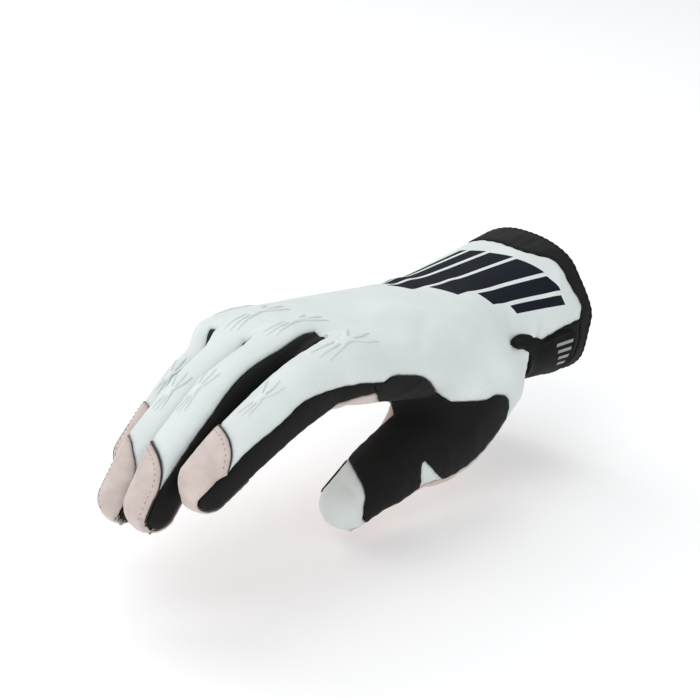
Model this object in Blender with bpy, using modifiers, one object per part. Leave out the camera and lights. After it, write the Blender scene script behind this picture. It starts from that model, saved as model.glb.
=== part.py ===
"""Motocross glove for a right hand, worn form, hollow, in metres.

The sewn panels all lie on one smooth hand form. Each limb of the form (the hand, four fingers, the thumb) is a
bent tube with a rounded-square section. The limbs flow into each other. A place on the form is named by its limb,
its distance along the limb and its angle around it (0 on the back of the hand, positive towards the thumb).
Panels are grids between shared seam lines, and each one is a sheet with its own thickness.

Origin: the centre of the cuff mouth. +X points out of the mouth, +Z out of the back of the hand, the thumb is at -Y.
"""

from typing import NamedTuple

import bpy
import numpy as np
from mathutils import Vector
from mathutils.geometry import delaunay_2d_cdt

for old in list(bpy.data.objects):
    bpy.data.objects.remove(old)
PANELS = bpy.data.collections.new("motocross_glove")
bpy.context.scene.collection.children.link(PANELS)

MM = 0.001

# Driving sizes, in millimetres
CUFF_TO_WRIST = 56.7
WRIST_TO_KNUCKLES = 89.4
CLOTH = 1.3
SEAM_GAP = 0.6
FINGERTIP_ROUND = 8.5
THUMBTIP_ROUND = 9.5
KNUCKLES = CUFF_TO_WRIST + WRIST_TO_KNUCKLES
HAND_LENGTH = KNUCKLES + 4.0
HAND_END_ROUND = 14.0

# Where the limbs' centre lines start
HAND_START = -40.0
FINGER_START = -30.0
THUMB_START = -6.0

# The power n of a section |x|^n + |y|^n = 1: 2 is an ellipse, and a higher one is squarer
HAND_POWER = 2.5
FINGER_POWER = 2.3

# How tightly two limbs flow into each other, as the width of the blend
BLEND_FINGERS = 1.2
BLEND_HAND = 9.0
BLEND_THUMB = 14.0

# Filling a panel with triangles: rounds of evening out, row spacing, clear strip along the border, cells in mm
RELAX_ROUNDS = 30
ROW_STEP = 0.87
BORDER_CLEAR = 0.55
HAND_CELL = 6.0
PALM_CELL = 7.5
THUMB_CELL = 5.5

# Cells of the grids
ROOT_CELLS = 4
SIDE_CELLS = 8
CAP_CELLS = 3
TIP_CELLS = 3
STRIP_CELLS = 5
WEB_CELLS = 4
GUSSET_CELLS = 3


class Bend(NamedTuple):
    """A bend of a limb's centre line: where, how far towards the palm, over what length."""

    at: float
    degrees: float
    span: float


class Section(NamedTuple):
    """Half sizes of a limb's section at one station."""

    at: float
    half_width: float
    back: float
    palm: float


class Finger(NamedTuple):
    """Where a finger leaves the hand and how it is bent. Offsets are from the end of the hand's centre line."""

    name: str
    ahead: float
    outward: float
    up: float
    yaw: float
    roll: float
    length: float
    root_bend: float
    middle_bend: float
    end_bend: float
    root_width: float
    tip_width: float
    root_depth: float
    tip_depth: float
    crown: float


FINGERS = (
    Finger("index", -2, -28.9, 3.2, -8.5, -8.6, 80.3, 29.5, 8.2, 3.9, 11.0, 9.4, 10.5, 7.8, 2.8),
    Finger("middle", 2, -8.9, 3.9, -0.2, 8.7, 89.8, 29.2, 16.6, 14.6, 10.8, 8.9, 10.8, 7.9, 1.2),
    Finger("ring", -2, 13.0, 2.4, -4.5, 2.4, 88.1, 37.4, 9.1, 16.6, 10.4, 8.5, 10.2, 7.6, 0.4),
    Finger("little", -11, 30.5, -3.6, -5.0, -4.9, 66.4, 30.3, 23.3, 3.3, 9.4, 7.7, 9.2, 6.8, 0.0),
)


class Joint(NamedTuple):
    """Where a finger bends: a station, a share of its length added to it, and the length of the bend."""

    at: float
    along: float
    span: float


ROOT_JOINT = Joint(4, 0, 26)
MIDDLE_JOINT = Joint(0, 0.47, 18)
END_JOINT = Joint(0, 0.78, 14)


class FingerRow(NamedTuple):
    """A finger's section: station, share of the length added to it, and shares of the finger's own sizes."""

    at: float
    along: float
    root_width: float
    tip_width: float
    wider: float
    root_depth: float
    tip_depth: float
    crown: float


FINGER_ROWS = (
    FingerRow(-30, 0, 0.75, 0, 0, 0.7, 0, 0),
    FingerRow(-8, 0, 0.95, 0, 0, 0.98, 0, 0),
    FingerRow(4, 0, 1, 0, 0, 1, 0, 0),
    FingerRow(0, 0.3, 0.7, 0.3, 0, 0.75, 0.25, 1.1),
    FingerRow(0, 0.5, 0.4, 0.6, 0.3, 0.45, 0.55, 1),
    FingerRow(0, 0.85, 0, 1, 0, 0, 1.05, 1.4),
    FingerRow(0, 1, 0, 0.93, 0, 0, 1, 1.1),
)

HAND_SECTIONS = (
    Section(-40, 35.0, 29.5, 29.5),
    Section(0, 34.1, 28.4, 28.4),
    Section(0.6 * CUFF_TO_WRIST, 32.8, 24.2, 24.2),
    Section(CUFF_TO_WRIST, 32.0, 21.5, 21.5),
    Section(CUFF_TO_WRIST + 22, 36.0, 19.0, 19.0),
    Section(CUFF_TO_WRIST + 50, 41.0, 16.5, 16.5),
    Section(KNUCKLES - 6, 42.0, 14.0, 14.0),
    Section(KNUCKLES + 6, 40.0, 12.0, 12.0),
)
HAND_BENDS = (Bend(CUFF_TO_WRIST, -9.4, 30),)

THUMB_LENGTH = 73.7
THUMB_SECTIONS = (
    Section(-6, 15.5, 14.0, 17.0),
    Section(10, 17.5, 15.0, 23.0),
    Section(22, 17.6, 14.0, 25.5),
    Section(35, 16.0, 12.6, 23.0),
    Section(43, 13.0, 12.3, 15.5),
    Section(60, 12.8, 10.8, 12.8),
    Section(THUMB_LENGTH - 15, 12.2, 10.0, 10.0),
    Section(THUMB_LENGTH, 10.6, 8.2, 8.2),
)
THUMB_BENDS = (Bend(34, -5.8, 24), Bend(66, 6.0, 18))


class ThumbRoot(NamedTuple):
    """Where the thumb leaves the hand: a station, offsets from there in mm, and its turns in degrees."""

    at: float
    aside: float
    below: float
    swing: float
    drop: float
    roll: float


THUMB_ROOT = ThumbRoot(60.4, 24.4, 13.9, -12.1, -36.7, -15.3)


def unit(v):
    """The vectors at length one."""
    v = np.asarray(v, float)
    return v / np.maximum(np.linalg.norm(v, axis=-1, keepdims=True), 1e-12)


def ease(x):
    """A smooth step from 0 to 1: 3x^2 - 2x^3."""
    x = np.clip(x, 0, 1)
    return x * x * (3 - 2 * x)


def turned(vector, axis, degrees):
    """The vector turned about the axis by the right-hand rule."""
    a = np.radians(degrees)
    axis = unit(axis)
    along = axis * (axis @ vector)
    return along + (vector - along) * np.cos(a) + np.cross(axis, vector) * np.sin(a)


class Limb:
    """A bent tube with a superellipse section and a rounded end."""

    def __init__(self, base, side, back, start, length, bends, sections, cap, power, open_start=False):
        self.cap = cap
        self.power = power
        self.length = length
        self.open_start = open_start
        side = unit(side)
        back = unit(back - side * (back @ side))
        ahead = np.cross(side, back)
        count = max(8, int((length - start) / 2.0))
        self.s = np.linspace(start, length, count)
        turn = np.zeros(count)
        for bend in bends:
            share = ease((self.s - bend.at) / bend.span + 0.5) - ease(np.array(-bend.at / bend.span + 0.5))
            turn += np.radians(bend.degrees) * share
        self.ahead = np.cos(turn)[:, None] * ahead - np.sin(turn)[:, None] * back
        self.back = np.cos(turn)[:, None] * back + np.sin(turn)[:, None] * ahead
        self.side = np.repeat(side[None], count, 0)
        steps = np.diff(self.s)[:, None] * (self.ahead[1:] + self.ahead[:-1]) / 2
        line = np.vstack([np.zeros(3), np.cumsum(steps, 0)])
        zero = np.array([np.interp(0, self.s, line[:, k]) for k in range(3)])
        self.line = line - zero + base
        rows = np.array(sections)
        self.sizes = np.stack([np.interp(self.s, rows[:, 0], rows[:, k]) for k in (1, 2, 3)], 1)
        for _ in range(4):
            inner = self.sizes[:-2] + 2 * self.sizes[1:-1] + self.sizes[2:]
            self.sizes[1:-1] = inner / 4

    def frame(self, s):
        """Centre, side, back, ahead and half sizes at station s; it runs on straight past both ends."""
        s = np.asarray(s, float)
        inner = np.clip(s, self.s[0], self.s[-1])

        def read(table):
            return np.stack([np.interp(inner, self.s, table[:, k]) for k in range(3)], -1)

        ahead = read(self.ahead)
        centre = read(self.line) + ahead * (s - inner)[..., None]
        return centre, read(self.side), read(self.back), ahead, read(self.sizes)

    def place(self, s, angle, share=1.0):
        """The point at station s and angle degrees around, at this share of the section's size."""
        centre, side, back, _, sizes = self.frame(s)
        a = np.radians(np.asarray(angle, float))
        x = np.sin(a)
        y = np.cos(a)
        depth = np.where(y > 0, sizes[..., 1], sizes[..., 2])
        share = np.asarray(share, float) * (np.abs(x) ** self.power + np.abs(y) ** self.power) ** (-1 / self.power)
        return centre + share[..., None] * (side * (sizes[..., 0] * x)[..., None] + back * (depth * y)[..., None])

    def chart(self, points):
        """Station, angle and share of each point: the inverse of place."""
        gaps = ((points[..., None, :] - self.line) ** 2).sum(-1)
        near = gaps.argmin(-1)
        s = self.s[near]
        for _ in range(3):
            centre, side, back, ahead, sizes = self.frame(s)
            s = s + ((points - centre) * ahead).sum(-1)
        centre, side, back, ahead, sizes = self.frame(s)
        away = points - centre
        x = (away * side).sum(-1) / sizes[..., 0]
        y = (away * back).sum(-1)
        y = y / np.where(y > 0, sizes[..., 1], sizes[..., 2])
        share = (np.abs(x) ** self.power + np.abs(y) ** self.power) ** (1 / self.power)
        return s, np.degrees(np.arctan2(x, y)), share

    def over_tip(self, over, aside):
        """The point over degrees round the end (0 back, 90 tip, 180 palm) and aside degrees off its middle plane."""
        end, side, back, ahead, sizes = self.frame(np.full(np.shape(over), self.length))
        b = np.radians(np.asarray(over, float))
        c = np.radians(np.asarray(aside, float))
        depth = np.where(np.cos(b) > 0, sizes[..., 1], sizes[..., 2])
        up = (np.cos(c) * np.cos(b) * depth)[..., None] * back
        out = (np.cos(c) * np.sin(b) * self.cap)[..., None] * ahead
        return end + (np.sin(c) * sizes[..., 0])[..., None] * side + up + out

    def tip_chart(self, points):
        """(over, aside, share) of points near the end. Before the end, over runs on with the length."""
        end, side, back, ahead, sizes = self.frame(np.full(points.shape[:-1], self.length))
        z = ((points - end) * ahead).sum(-1)
        s = np.minimum(self.length + z, self.length)
        for _ in range(3):
            centre, _, _, forward, _ = self.frame(s)
            s = np.minimum(s + ((points - centre) * forward).sum(-1), self.length)
        centre, side, back, ahead, sizes = self.frame(s)
        away = points - centre
        x = (away * side).sum(-1) / sizes[..., 0]
        y = (away * back).sum(-1)
        palm = y < 0
        y = y / np.where(palm, sizes[..., 2], sizes[..., 1])
        z = np.maximum((away * ahead).sum(-1), 0) / self.cap
        share = np.sqrt(x * x + y * y + z * z)
        aside = np.degrees(np.arctan2(x, np.hypot(y, z)))
        over = np.degrees(np.arctan2(z, y))
        behind = np.degrees((self.length - s) / self.cap)
        before = s < self.length - 1e-6
        over = np.where(before, np.where(palm, 180 + behind, -behind), over)
        return over, aside, share

    def from_tip_chart(self, over, aside, share):
        """The inverse of tip_chart."""
        behind = np.where(over < 0, -over, np.where(over > 180, over - 180, 0))
        s = self.length - np.radians(behind) * self.cap
        centre, side, back, ahead, sizes = self.frame(s)
        b = np.radians(np.clip(over, 0, 180))
        c = np.radians(aside)
        depth = np.where(np.cos(b) > 0, sizes[..., 1], sizes[..., 2])
        up = (np.cos(c) * np.cos(b) * depth)[..., None] * back
        out = (np.cos(c) * np.sin(b) * self.cap)[..., None] * ahead
        return centre + share[..., None] * ((np.sin(c) * sizes[..., 0])[..., None] * side + up + out)

    def distance(self, points):
        """A signed distance from the limb's surface, and the way out."""
        start, end = self.line[:-1], self.line[1:]
        span = end - start
        t = ((points[:, None] - start) * span).sum(2) / (span**2).sum(1)
        t = np.clip(t, 0, 1)
        gaps = ((points[:, None] - (start + t[..., None] * span)) ** 2).sum(2)
        near = gaps.argmin(1)
        t = t[np.arange(len(points)), near]

        def read(table):
            return table[near] * (1 - t[:, None]) + table[near + 1] * t[:, None]

        side, back, ahead, sizes = read(self.side), read(self.back), read(self.ahead), read(self.sizes)
        away = points - read(self.line)
        x = (away * side).sum(1)
        y = (away * back).sum(1)
        z = (away * ahead).sum(1)
        past = np.maximum(z, 0) * (near == len(start) - 1)
        if not self.open_start:
            past = past + np.minimum(z, 0) * (near == 0)
        n = self.power
        width = sizes[:, 0]
        depth = np.where(y > 0, sizes[:, 1], sizes[:, 2])
        flat = (np.abs(x / width) ** n + np.abs(y / depth) ** n) ** (1 / n) + 1e-9
        share = np.sqrt(flat**2 + (past / self.cap) ** 2)
        reach = np.sqrt(x * x + y * y + past * past)
        value = reach - reach / share
        gx = np.sign(x) * np.abs(x / width) ** (n - 1) / width * flat ** (2 - n)
        gy = np.sign(y) * np.abs(y / depth) ** (n - 1) / depth * flat ** (2 - n)
        out = side * gx[:, None] + back * gy[:, None] + ahead * (past / self.cap**2)[:, None]
        return value, unit(out)


def blended(first, second, width):
    """The smooth minimum of two (distance, way out) pairs."""
    h = np.clip(0.5 + 0.5 * (second[0] - first[0]) / width, 0, 1)
    value = second[0] * (1 - h) + first[0] * h - width * h * (1 - h)
    out = second[1] * (1 - h)[:, None] + first[1] * h[:, None]
    return value, unit(out)


class Form:
    """The hand form: all limbs and the surface they make together."""

    def __init__(self):
        toward_thumb = np.array([0.0, -1.0, 0.0])
        upward = np.array([0.0, 0.0, 1.0])
        hand = Limb(
            np.zeros(3),
            toward_thumb,
            upward,
            HAND_START,
            HAND_LENGTH,
            HAND_BENDS,
            HAND_SECTIONS,
            HAND_END_ROUND,
            HAND_POWER,
            open_start=True,
        )
        self.limbs = {"hand": hand}
        for finger in FINGERS:
            self.limbs[finger.name] = self.finger(hand, finger)
        self.limbs["thumb"] = self.thumb(hand)

    @staticmethod
    def finger(hand, f):
        """A finger's limb, from the end of the hand."""
        centre, side, back, ahead, _ = hand.frame(np.array(KNUCKLES))
        base = centre + ahead * f.ahead - side * f.outward + back * f.up
        across = turned(side, back, -f.yaw)
        forward = turned(ahead, back, -f.yaw)
        across = turned(across, forward, f.roll)
        upward = turned(back, forward, f.roll)
        joints = (ROOT_JOINT, f.root_bend), (MIDDLE_JOINT, f.middle_bend), (END_JOINT, f.end_bend)
        bends = [Bend(joint.at + joint.along * f.length, degrees, joint.span) for joint, degrees in joints]
        rows = []
        for row in FINGER_ROWS:
            width = row.root_width * f.root_width + row.tip_width * f.tip_width + row.wider
            depth = row.root_depth * f.root_depth + row.tip_depth * f.tip_depth
            rows.append(Section(row.at + row.along * f.length, width, depth + row.crown * f.crown, depth))
        return Limb(base, across, upward, FINGER_START, f.length, bends, rows, FINGERTIP_ROUND, FINGER_POWER)

    @staticmethod
    def thumb(hand):
        """The thumb's limb, from the side of the hand."""
        root = THUMB_ROOT
        centre, side, back, ahead, _ = hand.frame(np.array(root.at))
        base = centre + side * root.aside - back * root.below
        swing, drop = np.radians((root.swing, root.drop))
        forward = (ahead * np.cos(swing) + side * np.sin(swing)) * np.cos(drop) + back * np.sin(drop)
        across = unit(np.cross(back, forward))
        upward = turned(np.cross(forward, across), forward, root.roll)
        across = np.cross(upward, forward)
        return Limb(
            base,
            across,
            upward,
            THUMB_START,
            THUMB_LENGTH,
            THUMB_BENDS,
            THUMB_SECTIONS,
            THUMBTIP_ROUND,
            FINGER_POWER,
        )

    def surface(self, points):
        """Signed distance of points (n, 3) from the form, and the way out."""
        found = self.limbs["index"].distance(points)
        for name in ("middle", "ring", "little"):
            found = blended(found, self.limbs[name].distance(points), BLEND_FINGERS)
        found = blended(found, self.limbs["hand"].distance(points), BLEND_HAND)
        return blended(found, self.limbs["thumb"].distance(points), BLEND_THUMB)

    def settle(self, points, level=0.0, rounds=7):
        """The points moved onto the form's surface, or to this level over it."""
        points = np.array(points, float)
        shape = points.shape
        points = points.reshape(-1, 3)
        for _ in range(rounds):
            value, out = self.surface(points)
            points = points - 0.9 * np.clip(value - level, -4, 4)[:, None] * out
        return points.reshape(shape)


FORM = Form()


class Spot(NamedTuple):
    """A place on the form: limb, station along it, angle around it."""

    limb: str
    at: float
    around: float


class Tip(NamedTuple):
    """A place on a limb's rounded end: over it from the back to the palm side, and aside."""

    limb: str
    over: float
    aside: float


def placed(spot):
    """The spot as a point near the form; a point stays as it is."""
    if isinstance(spot, Spot):
        return FORM.limbs[spot.limb].place(spot.at, spot.around)
    if isinstance(spot, Tip):
        return FORM.limbs[spot.limb].over_tip(spot.over, spot.aside)
    return np.asarray(spot, float)


def even(points, cells):
    """Points at even steps of length along a smooth curve through the given points (cubic, centred slopes)."""
    points = np.asarray(points, float)
    knots = np.concatenate([[0], np.cumsum(np.linalg.norm(np.diff(points, axis=0), axis=1))])
    slopes = np.gradient(points, knots, axis=0) if len(points) > 2 else None
    fine = np.linspace(0, knots[-1], 40 * len(points))
    if slopes is None:
        dense = points[0] + (points[1] - points[0]) * (fine / knots[-1])[:, None]
    else:
        k = np.clip(np.searchsorted(knots, fine, side="right") - 1, 0, len(points) - 2)
        span = (knots[k + 1] - knots[k])[:, None]
        t = (fine - knots[k])[:, None] / span
        dense = (
            (2 * t**3 - 3 * t**2 + 1) * points[k]
            + (t**3 - 2 * t**2 + t) * span * slopes[k]
            + (3 * t**2 - 2 * t**3) * points[k + 1]
            + (t**3 - t**2) * span * slopes[k + 1]
        )
    run = np.concatenate([[0], np.cumsum(np.linalg.norm(np.diff(dense, axis=0), axis=1))])
    marks = np.linspace(0, run[-1], cells + 1)
    return np.stack([np.interp(marks, run, dense[:, axis]) for axis in range(3)], 1)


def line(cells, *spots):
    """A seam line on the form through the spots, in this many cells. A point given as an end stays exact."""
    points = FORM.settle(np.array([placed(spot) for spot in spots]))
    for end in (0, -1):
        if not isinstance(spots[end], (Spot, Tip)):
            points[end] = spots[end]
    found = FORM.settle(even(points, cells))
    found[0] = points[0]
    found[-1] = points[-1]
    return found


def joined(*lines):
    """Lines end to end as one, each shared end once."""
    return np.vstack([lines[0]] + [other[1:] for other in lines[1:]])


def spots(limb, *pairs):
    """Spots of one limb from (station, angle) pairs. A spot of another limb stays as it is."""
    return [pair if isinstance(pair, Spot) else Spot(limb, *pair) for pair in pairs]


def coons(bottom, top, left, right, to_chart=None, from_chart=None):
    """A grid between four lines, each given as points. Rows run from bottom to top, columns from left to right.

    The inside is blended in the chart's coordinates: left-right blend + bottom-top blend - blend of the corners.
    """
    sides = [np.asarray(side, float) for side in (bottom, top, left, right)]
    bottom, top, left, right = [to_chart(side) if to_chart else side for side in sides]
    u = np.linspace(0, 1, len(bottom))[None, :, None]
    v = np.linspace(0, 1, len(left))[:, None, None]
    corners = (
        (1 - u) * (1 - v) * bottom[0]
        + u * (1 - v) * bottom[-1]
        + (1 - u) * v * top[0]
        + u * v * top[-1]
    )
    found = (1 - u) * left[:, None] + u * right[:, None] + (1 - v) * bottom[None] + v * top[None] - corners
    if from_chart:
        found = from_chart(found)
    found = FORM.settle(found)
    found[0], found[-1], found[:, 0], found[:, -1] = sides
    return found


def around(limb, turned_from=-180.0):
    """The (to, from) chart pair of a limb's tube, with angles from turned_from upwards."""
    body = FORM.limbs[limb]

    def to_chart(points):
        s, angle, share = body.chart(points)
        angle = (angle - turned_from) % 360 + turned_from
        return np.stack([s, angle, 20 * share], -1)

    def from_chart(chart):
        return body.place(chart[..., 0], chart[..., 1], chart[..., 2] / 20)

    return to_chart, from_chart


def round_end(limb):
    """The (to, from) chart pair of a limb's rounded end."""
    body = FORM.limbs[limb]

    def to_chart(points):
        over, aside, share = body.tip_chart(points)
        return np.stack([over, aside, 20 * share], -1)

    def from_chart(chart):
        return body.from_tip_chart(chart[..., 0], chart[..., 1], chart[..., 2] / 20)

    return to_chart, from_chart


class Seams(NamedTuple):
    """A finger's seam lines. little_side is the side away from the thumb. Root ends come first."""

    back_root_thumb: np.ndarray
    back_root_little: np.ndarray
    back_thumb: np.ndarray
    back_little: np.ndarray
    cap_thumb: np.ndarray
    cap_little: np.ndarray
    tip_thumb: np.ndarray
    tip_little: np.ndarray
    under_cap_thumb: np.ndarray
    under_cap_little: np.ndarray
    palm_thumb: np.ndarray
    palm_little: np.ndarray
    root: np.ndarray
    cap_edge: np.ndarray
    palm_cap_edge: np.ndarray
    palm_root: np.ndarray


class FingerPlan(NamedTuple):
    """(station, angle) places of a finger's seams, root first."""

    thumb_root: tuple
    thumb_side: tuple
    little_root: tuple
    little_side: tuple
    root: tuple
    cap_edge: tuple


PALM_SEAM = 128.0
PALM_CAP = 14.0
PALM_ROOTS = {("ring", "little"): 150.0}

FINGER_PLANS = {
    "index": FingerPlan(
        ((0.6, 98), (8.7, 89), (13.8, 84), (24, 70)),
        ((24, 70), (36, 57), (44.7, 59), (51.6, 59), (59.3, 56), (66.7, 55), (75.9, 57)),
        ((3, -44), (8, -38), (14.5, -45), (19, -57), (24, -61)),
        ((24, -61), (33, -60), (42, -60), (49, -63), (57, -78)),
        ((3, -44), (2, 0), (0, 50), (0.6, 98)),
        ((57, -78), (59.5, -60), (62.5, -32), (64.9, -4), (67.4, 22), (69.6, 36), (73.8, 50), (75.9, 57)),
    ),
    "middle": FingerPlan(
        ((0, 48), (6.2, 47), (13.4, 50), (22, 48)),
        ((22, 48), (30.7, 47), (41.3, 52), (53.9, 59), (65.4, 62), (76, 61), (85.9, 50)),
        ((12, -42), (18, -54), (26, -62)),
        ((26, -62), (36, -66), (50, -70), (66, -80)),
        ((12, -42), (8, 0), (0, 48)),
        ((66, -80), (70.3, -37), (72.9, 2), (75.2, 20), (77.8, 35), (82.7, 46), (85.9, 50)),
    ),
    "ring": FingerPlan(
        ((16, 44), (21, 48), (30, 51)),
        ((30, 51), (40, 53), (52, 56), (66, 58), (84, 48)),
        ((12, -50), (17, -59), (22, -64)),
        ((22, -64), (35, -69), (50, -73), (65, -80)),
        ((12, -50), (13, 0), (16, 44)),
        ((65, -80), (68, -45), (71, -7), (74, 13), (76.5, 30), (81, 42), (84, 48)),
    ),
    "little": FingerPlan(
        (Spot("ring", 8, -80), Spot("ring", 10, -84), Spot("ring", 11, -100), (28, 30)),
        ((28, 30), (38, 44), (48, 52), (62, 50)),
        ((0, -98), (9, -88), (14, -80), (22, -68)),
        ((22, -68), (30, -62), (38, -64), (47, -80)),
        ((0, -98), (3, -60), (9, -20), Spot("ring", 8, -80)),
        ((47, -80), (49, -45), (51, -7), (53, 13), (55.5, 30), (60, 42), (62, 50)),
    ),
}


def finger_seams(name):
    """All seam lines of one finger from its plan."""
    plan = FINGER_PLANS[name]
    length = FORM.limbs[name].length
    cap_back = length - PALM_CAP
    lines = {}
    for side, root, run, sign in (
        ("thumb", plan.thumb_root, plan.thumb_side, 1),
        ("little", plan.little_root, plan.little_side, -1),
    ):
        start = line(ROOT_CELLS, *spots(name, *root))
        along = line(SIDE_CELLS, start[-1], *spots(name, *run[1:]))
        cap_start = Spot(name, max(length, run[-1][0] + 2), sign * 50)
        cap = line(CAP_CELLS, along[-1], cap_start, Tip(name, 40, sign * 44), Tip(name, 68, sign * 29))
        tip = line(TIP_CELLS, cap[-1], Tip(name, 90, sign * 23), Tip(name, 112, sign * 29))
        under = line(
            CAP_CELLS,
            tip[-1],
            Tip(name, 140, sign * 44),
            Spot(name, length, sign * PALM_SEAM),
            Spot(name, cap_back, sign * PALM_SEAM),
        )
        crotch = run[0][0]
        palm = line(
            SIDE_CELLS,
            under[-1],
            Spot(name, 0.5 * (cap_back + crotch), sign * PALM_SEAM),
            Spot(name, crotch, sign * PALM_ROOTS.get((name, side), PALM_SEAM)),
        )
        lines.update(
            {
                "back_root_" + side: start,
                "back_" + side: along,
                "cap_" + side: cap,
                "tip_" + side: tip,
                "under_cap_" + side: under,
                "palm_" + side: palm[::-1],
            }
        )
    lines["root"] = line(
        STRIP_CELLS, lines["back_root_little"][0], *spots(name, *plan.root[1:-1]), lines["back_root_thumb"][0]
    )
    lines["cap_edge"] = line(
        STRIP_CELLS, lines["back_little"][-1], *spots(name, *plan.cap_edge[1:-1]), lines["back_thumb"][-1]
    )
    lines["palm_cap_edge"] = line(
        STRIP_CELLS, lines["palm_little"][-1], Spot(name, cap_back, 180), lines["palm_thumb"][-1]
    )
    lines["palm_root"] = line(
        STRIP_CELLS, lines["palm_little"][0], Spot(name, plan.thumb_side[0][0], 180), lines["palm_thumb"][0]
    )
    return Seams(**lines)


def between(first, second, first_at, second_at, backs, palms, cells):
    """The line round the web between two fingers, from the valley on the back to the palm side.

    The stations are where the search for the web starts, backs and palms the seam ends on both sides of it.
    """
    one = FORM.limbs[first]
    other = FORM.limbs[second]
    run = np.arange(-10.0, 30.0, 0.25)
    track = (one.frame(first_at + run)[0] + other.frame(second_at + run)[0]) / 2
    value, _ = FORM.surface(track)
    crotch = track[np.argmax(value > 0)]
    ahead = unit(one.frame(np.array(first_at))[3] + other.frame(np.array(second_at))[3])
    top = FORM.settle((np.mean(backs, axis=0) - WEB_BEHIND * ahead)[None], rounds=14)[0]
    bottom = FORM.settle((np.mean(palms, axis=0) - WEB_BEHIND * ahead)[None], rounds=14)[0]
    return line(cells, top, crotch, bottom)


def facing_out(points, faces):
    """The faces, all turned round if most of them face into the form."""
    _, out = FORM.surface(points)
    total = 0.0
    for face in faces:
        p = points[list(face)]
        total += np.cross(p[1] - p[0], p[-1] - p[0]) @ out[face[0]]
    return faces if total > 0 else [tuple(face)[::-1] for face in faces]


def welded(points, faces):
    """(points, faces) with each place once."""
    _, first, index = np.unique(np.round(points, 4), axis=0, return_index=True, return_inverse=True)
    index = index.reshape(-1)
    kept = []
    for face in faces:
        corners = list(dict.fromkeys(int(corner) for corner in index[list(face)]))
        if len(corners) > 2:
            kept.append(tuple(corners))
    return points[first], kept


def grid_mesh(grid):
    """(points, faces) of one grid."""
    rows, columns = grid.shape[:2]
    index = np.arange(rows * columns).reshape(rows, columns)
    corners = (index[:-1, :-1], index[:-1, 1:], index[1:, 1:], index[1:, :-1])
    return grid.reshape(-1, 3), np.stack([c.ravel() for c in corners], 1)


def merged(*parts):
    """One (points, faces) pair from grids and (points, faces) pairs."""
    points = []
    faces = []
    count = 0
    for part in parts:
        found, cells = grid_mesh(part) if isinstance(part, np.ndarray) else part
        cells = facing_out(found, cells)
        points.append(found)
        faces.extend(tuple(np.asarray(cell) + count) for cell in cells)
        count += len(found)
    return welded(np.vstack(points), faces)


def triangulated(rim, spacing):
    """(inner points, faces) of a flat outline: triangles over its points and over a grid inside it."""
    low = rim.min(0)
    high = rim.max(0)
    xs = np.arange(low[0], high[0], spacing)
    ys = np.arange(low[1], high[1], spacing * ROW_STEP)
    inner = np.array([(x + (row % 2) * spacing / 2, y) for row, y in enumerate(ys) for x in xs])
    start = rim
    end = np.roll(rim, -1, axis=0)
    span = end - start
    t = np.clip(((inner[:, None] - start) * span).sum(2) / np.maximum((span**2).sum(1), 1e-9), 0, 1)
    clear = np.linalg.norm(inner[:, None] - (start + t[..., None] * span), axis=2).min(1)
    above = (start[:, 1] > inner[:, None, 1]) != (end[:, 1] > inner[:, None, 1])
    with np.errstate(divide="ignore", invalid="ignore"):
        cross = start[:, 0] + (inner[:, None, 1] - start[:, 1]) / span[:, 1] * span[:, 0]
    inside = (above & (inner[:, None, 0] < cross)).sum(1) % 2 == 1
    inner = inner[inside & (clear > BORDER_CLEAR * spacing)]
    flat = [Vector(p) for p in np.vstack([rim, inner])]
    found = delaunay_2d_cdt(flat, [], [list(range(len(rim)))], 1, 1e-6)
    sources = [ids[0] if ids else -1 for ids in found[3]]
    return inner, [tuple(sources[corner] for corner in face) for face in found[2]]


def filled(outline, to_plane, from_plane, spacing):
    """(points, faces) of the part of the form inside an outline, as triangles made in a plane chart.

    The inner points are then evened out: each one moves to the mean of its neighbours and back onto the form.
    """
    inner, faces = triangulated(to_plane(outline), spacing)
    whole = np.vstack([outline, FORM.settle(from_plane(inner))])
    corners = np.array(faces)
    edges = np.vstack([corners[:, [0, 1]], corners[:, [1, 2]], corners[:, [2, 0]]])
    edges = np.unique(np.vstack([edges, edges[:, ::-1]]), axis=0)
    count = np.bincount(edges[:, 0], minlength=len(whole))[:, None]
    free = np.arange(len(whole)) >= len(outline)
    for _ in range(RELAX_ROUNDS):
        total = np.zeros_like(whole)
        np.add.at(total, edges[:, 0], whole[edges[:, 1]])
        whole[free] = FORM.settle((total / np.maximum(count, 1))[free], rounds=2)
    whole[free] = FORM.settle(whole[free])
    return whole, faces


def cut_out(limb, outline, per_degree, spacing):
    """(points, faces) of a flat shape laid on a limb. The outline is in stations and angles."""
    flat = np.array(outline, float) * (1.0, per_degree)
    ends = np.roll(flat, -1, axis=0)
    rim = []
    for start, end in zip(flat, ends):
        steps = max(1, int(round(np.linalg.norm(end - start) / spacing)))
        rim.extend(start + (end - start) * k / steps for k in range(steps))
    rim = np.array(rim)
    inner, faces = triangulated(rim, spacing)
    whole = np.vstack([rim, inner])
    return FORM.settle(FORM.limbs[limb].place(whole[:, 0], whole[:, 1] / per_degree)), faces


def unrolled(limb, turned_from, per_degree):
    """The (to, from) pair of a limb's skin rolled out flat: station, and angle times per_degree."""
    body = FORM.limbs[limb]

    def to_plane(points):
        s, angle, _ = body.chart(points)
        angle = (angle - turned_from) % 360 + turned_from
        return np.stack([s, angle * per_degree], -1)

    def from_plane(flat):
        return body.place(flat[:, 0], flat[:, 1] / per_degree)

    return to_plane, from_plane


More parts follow.
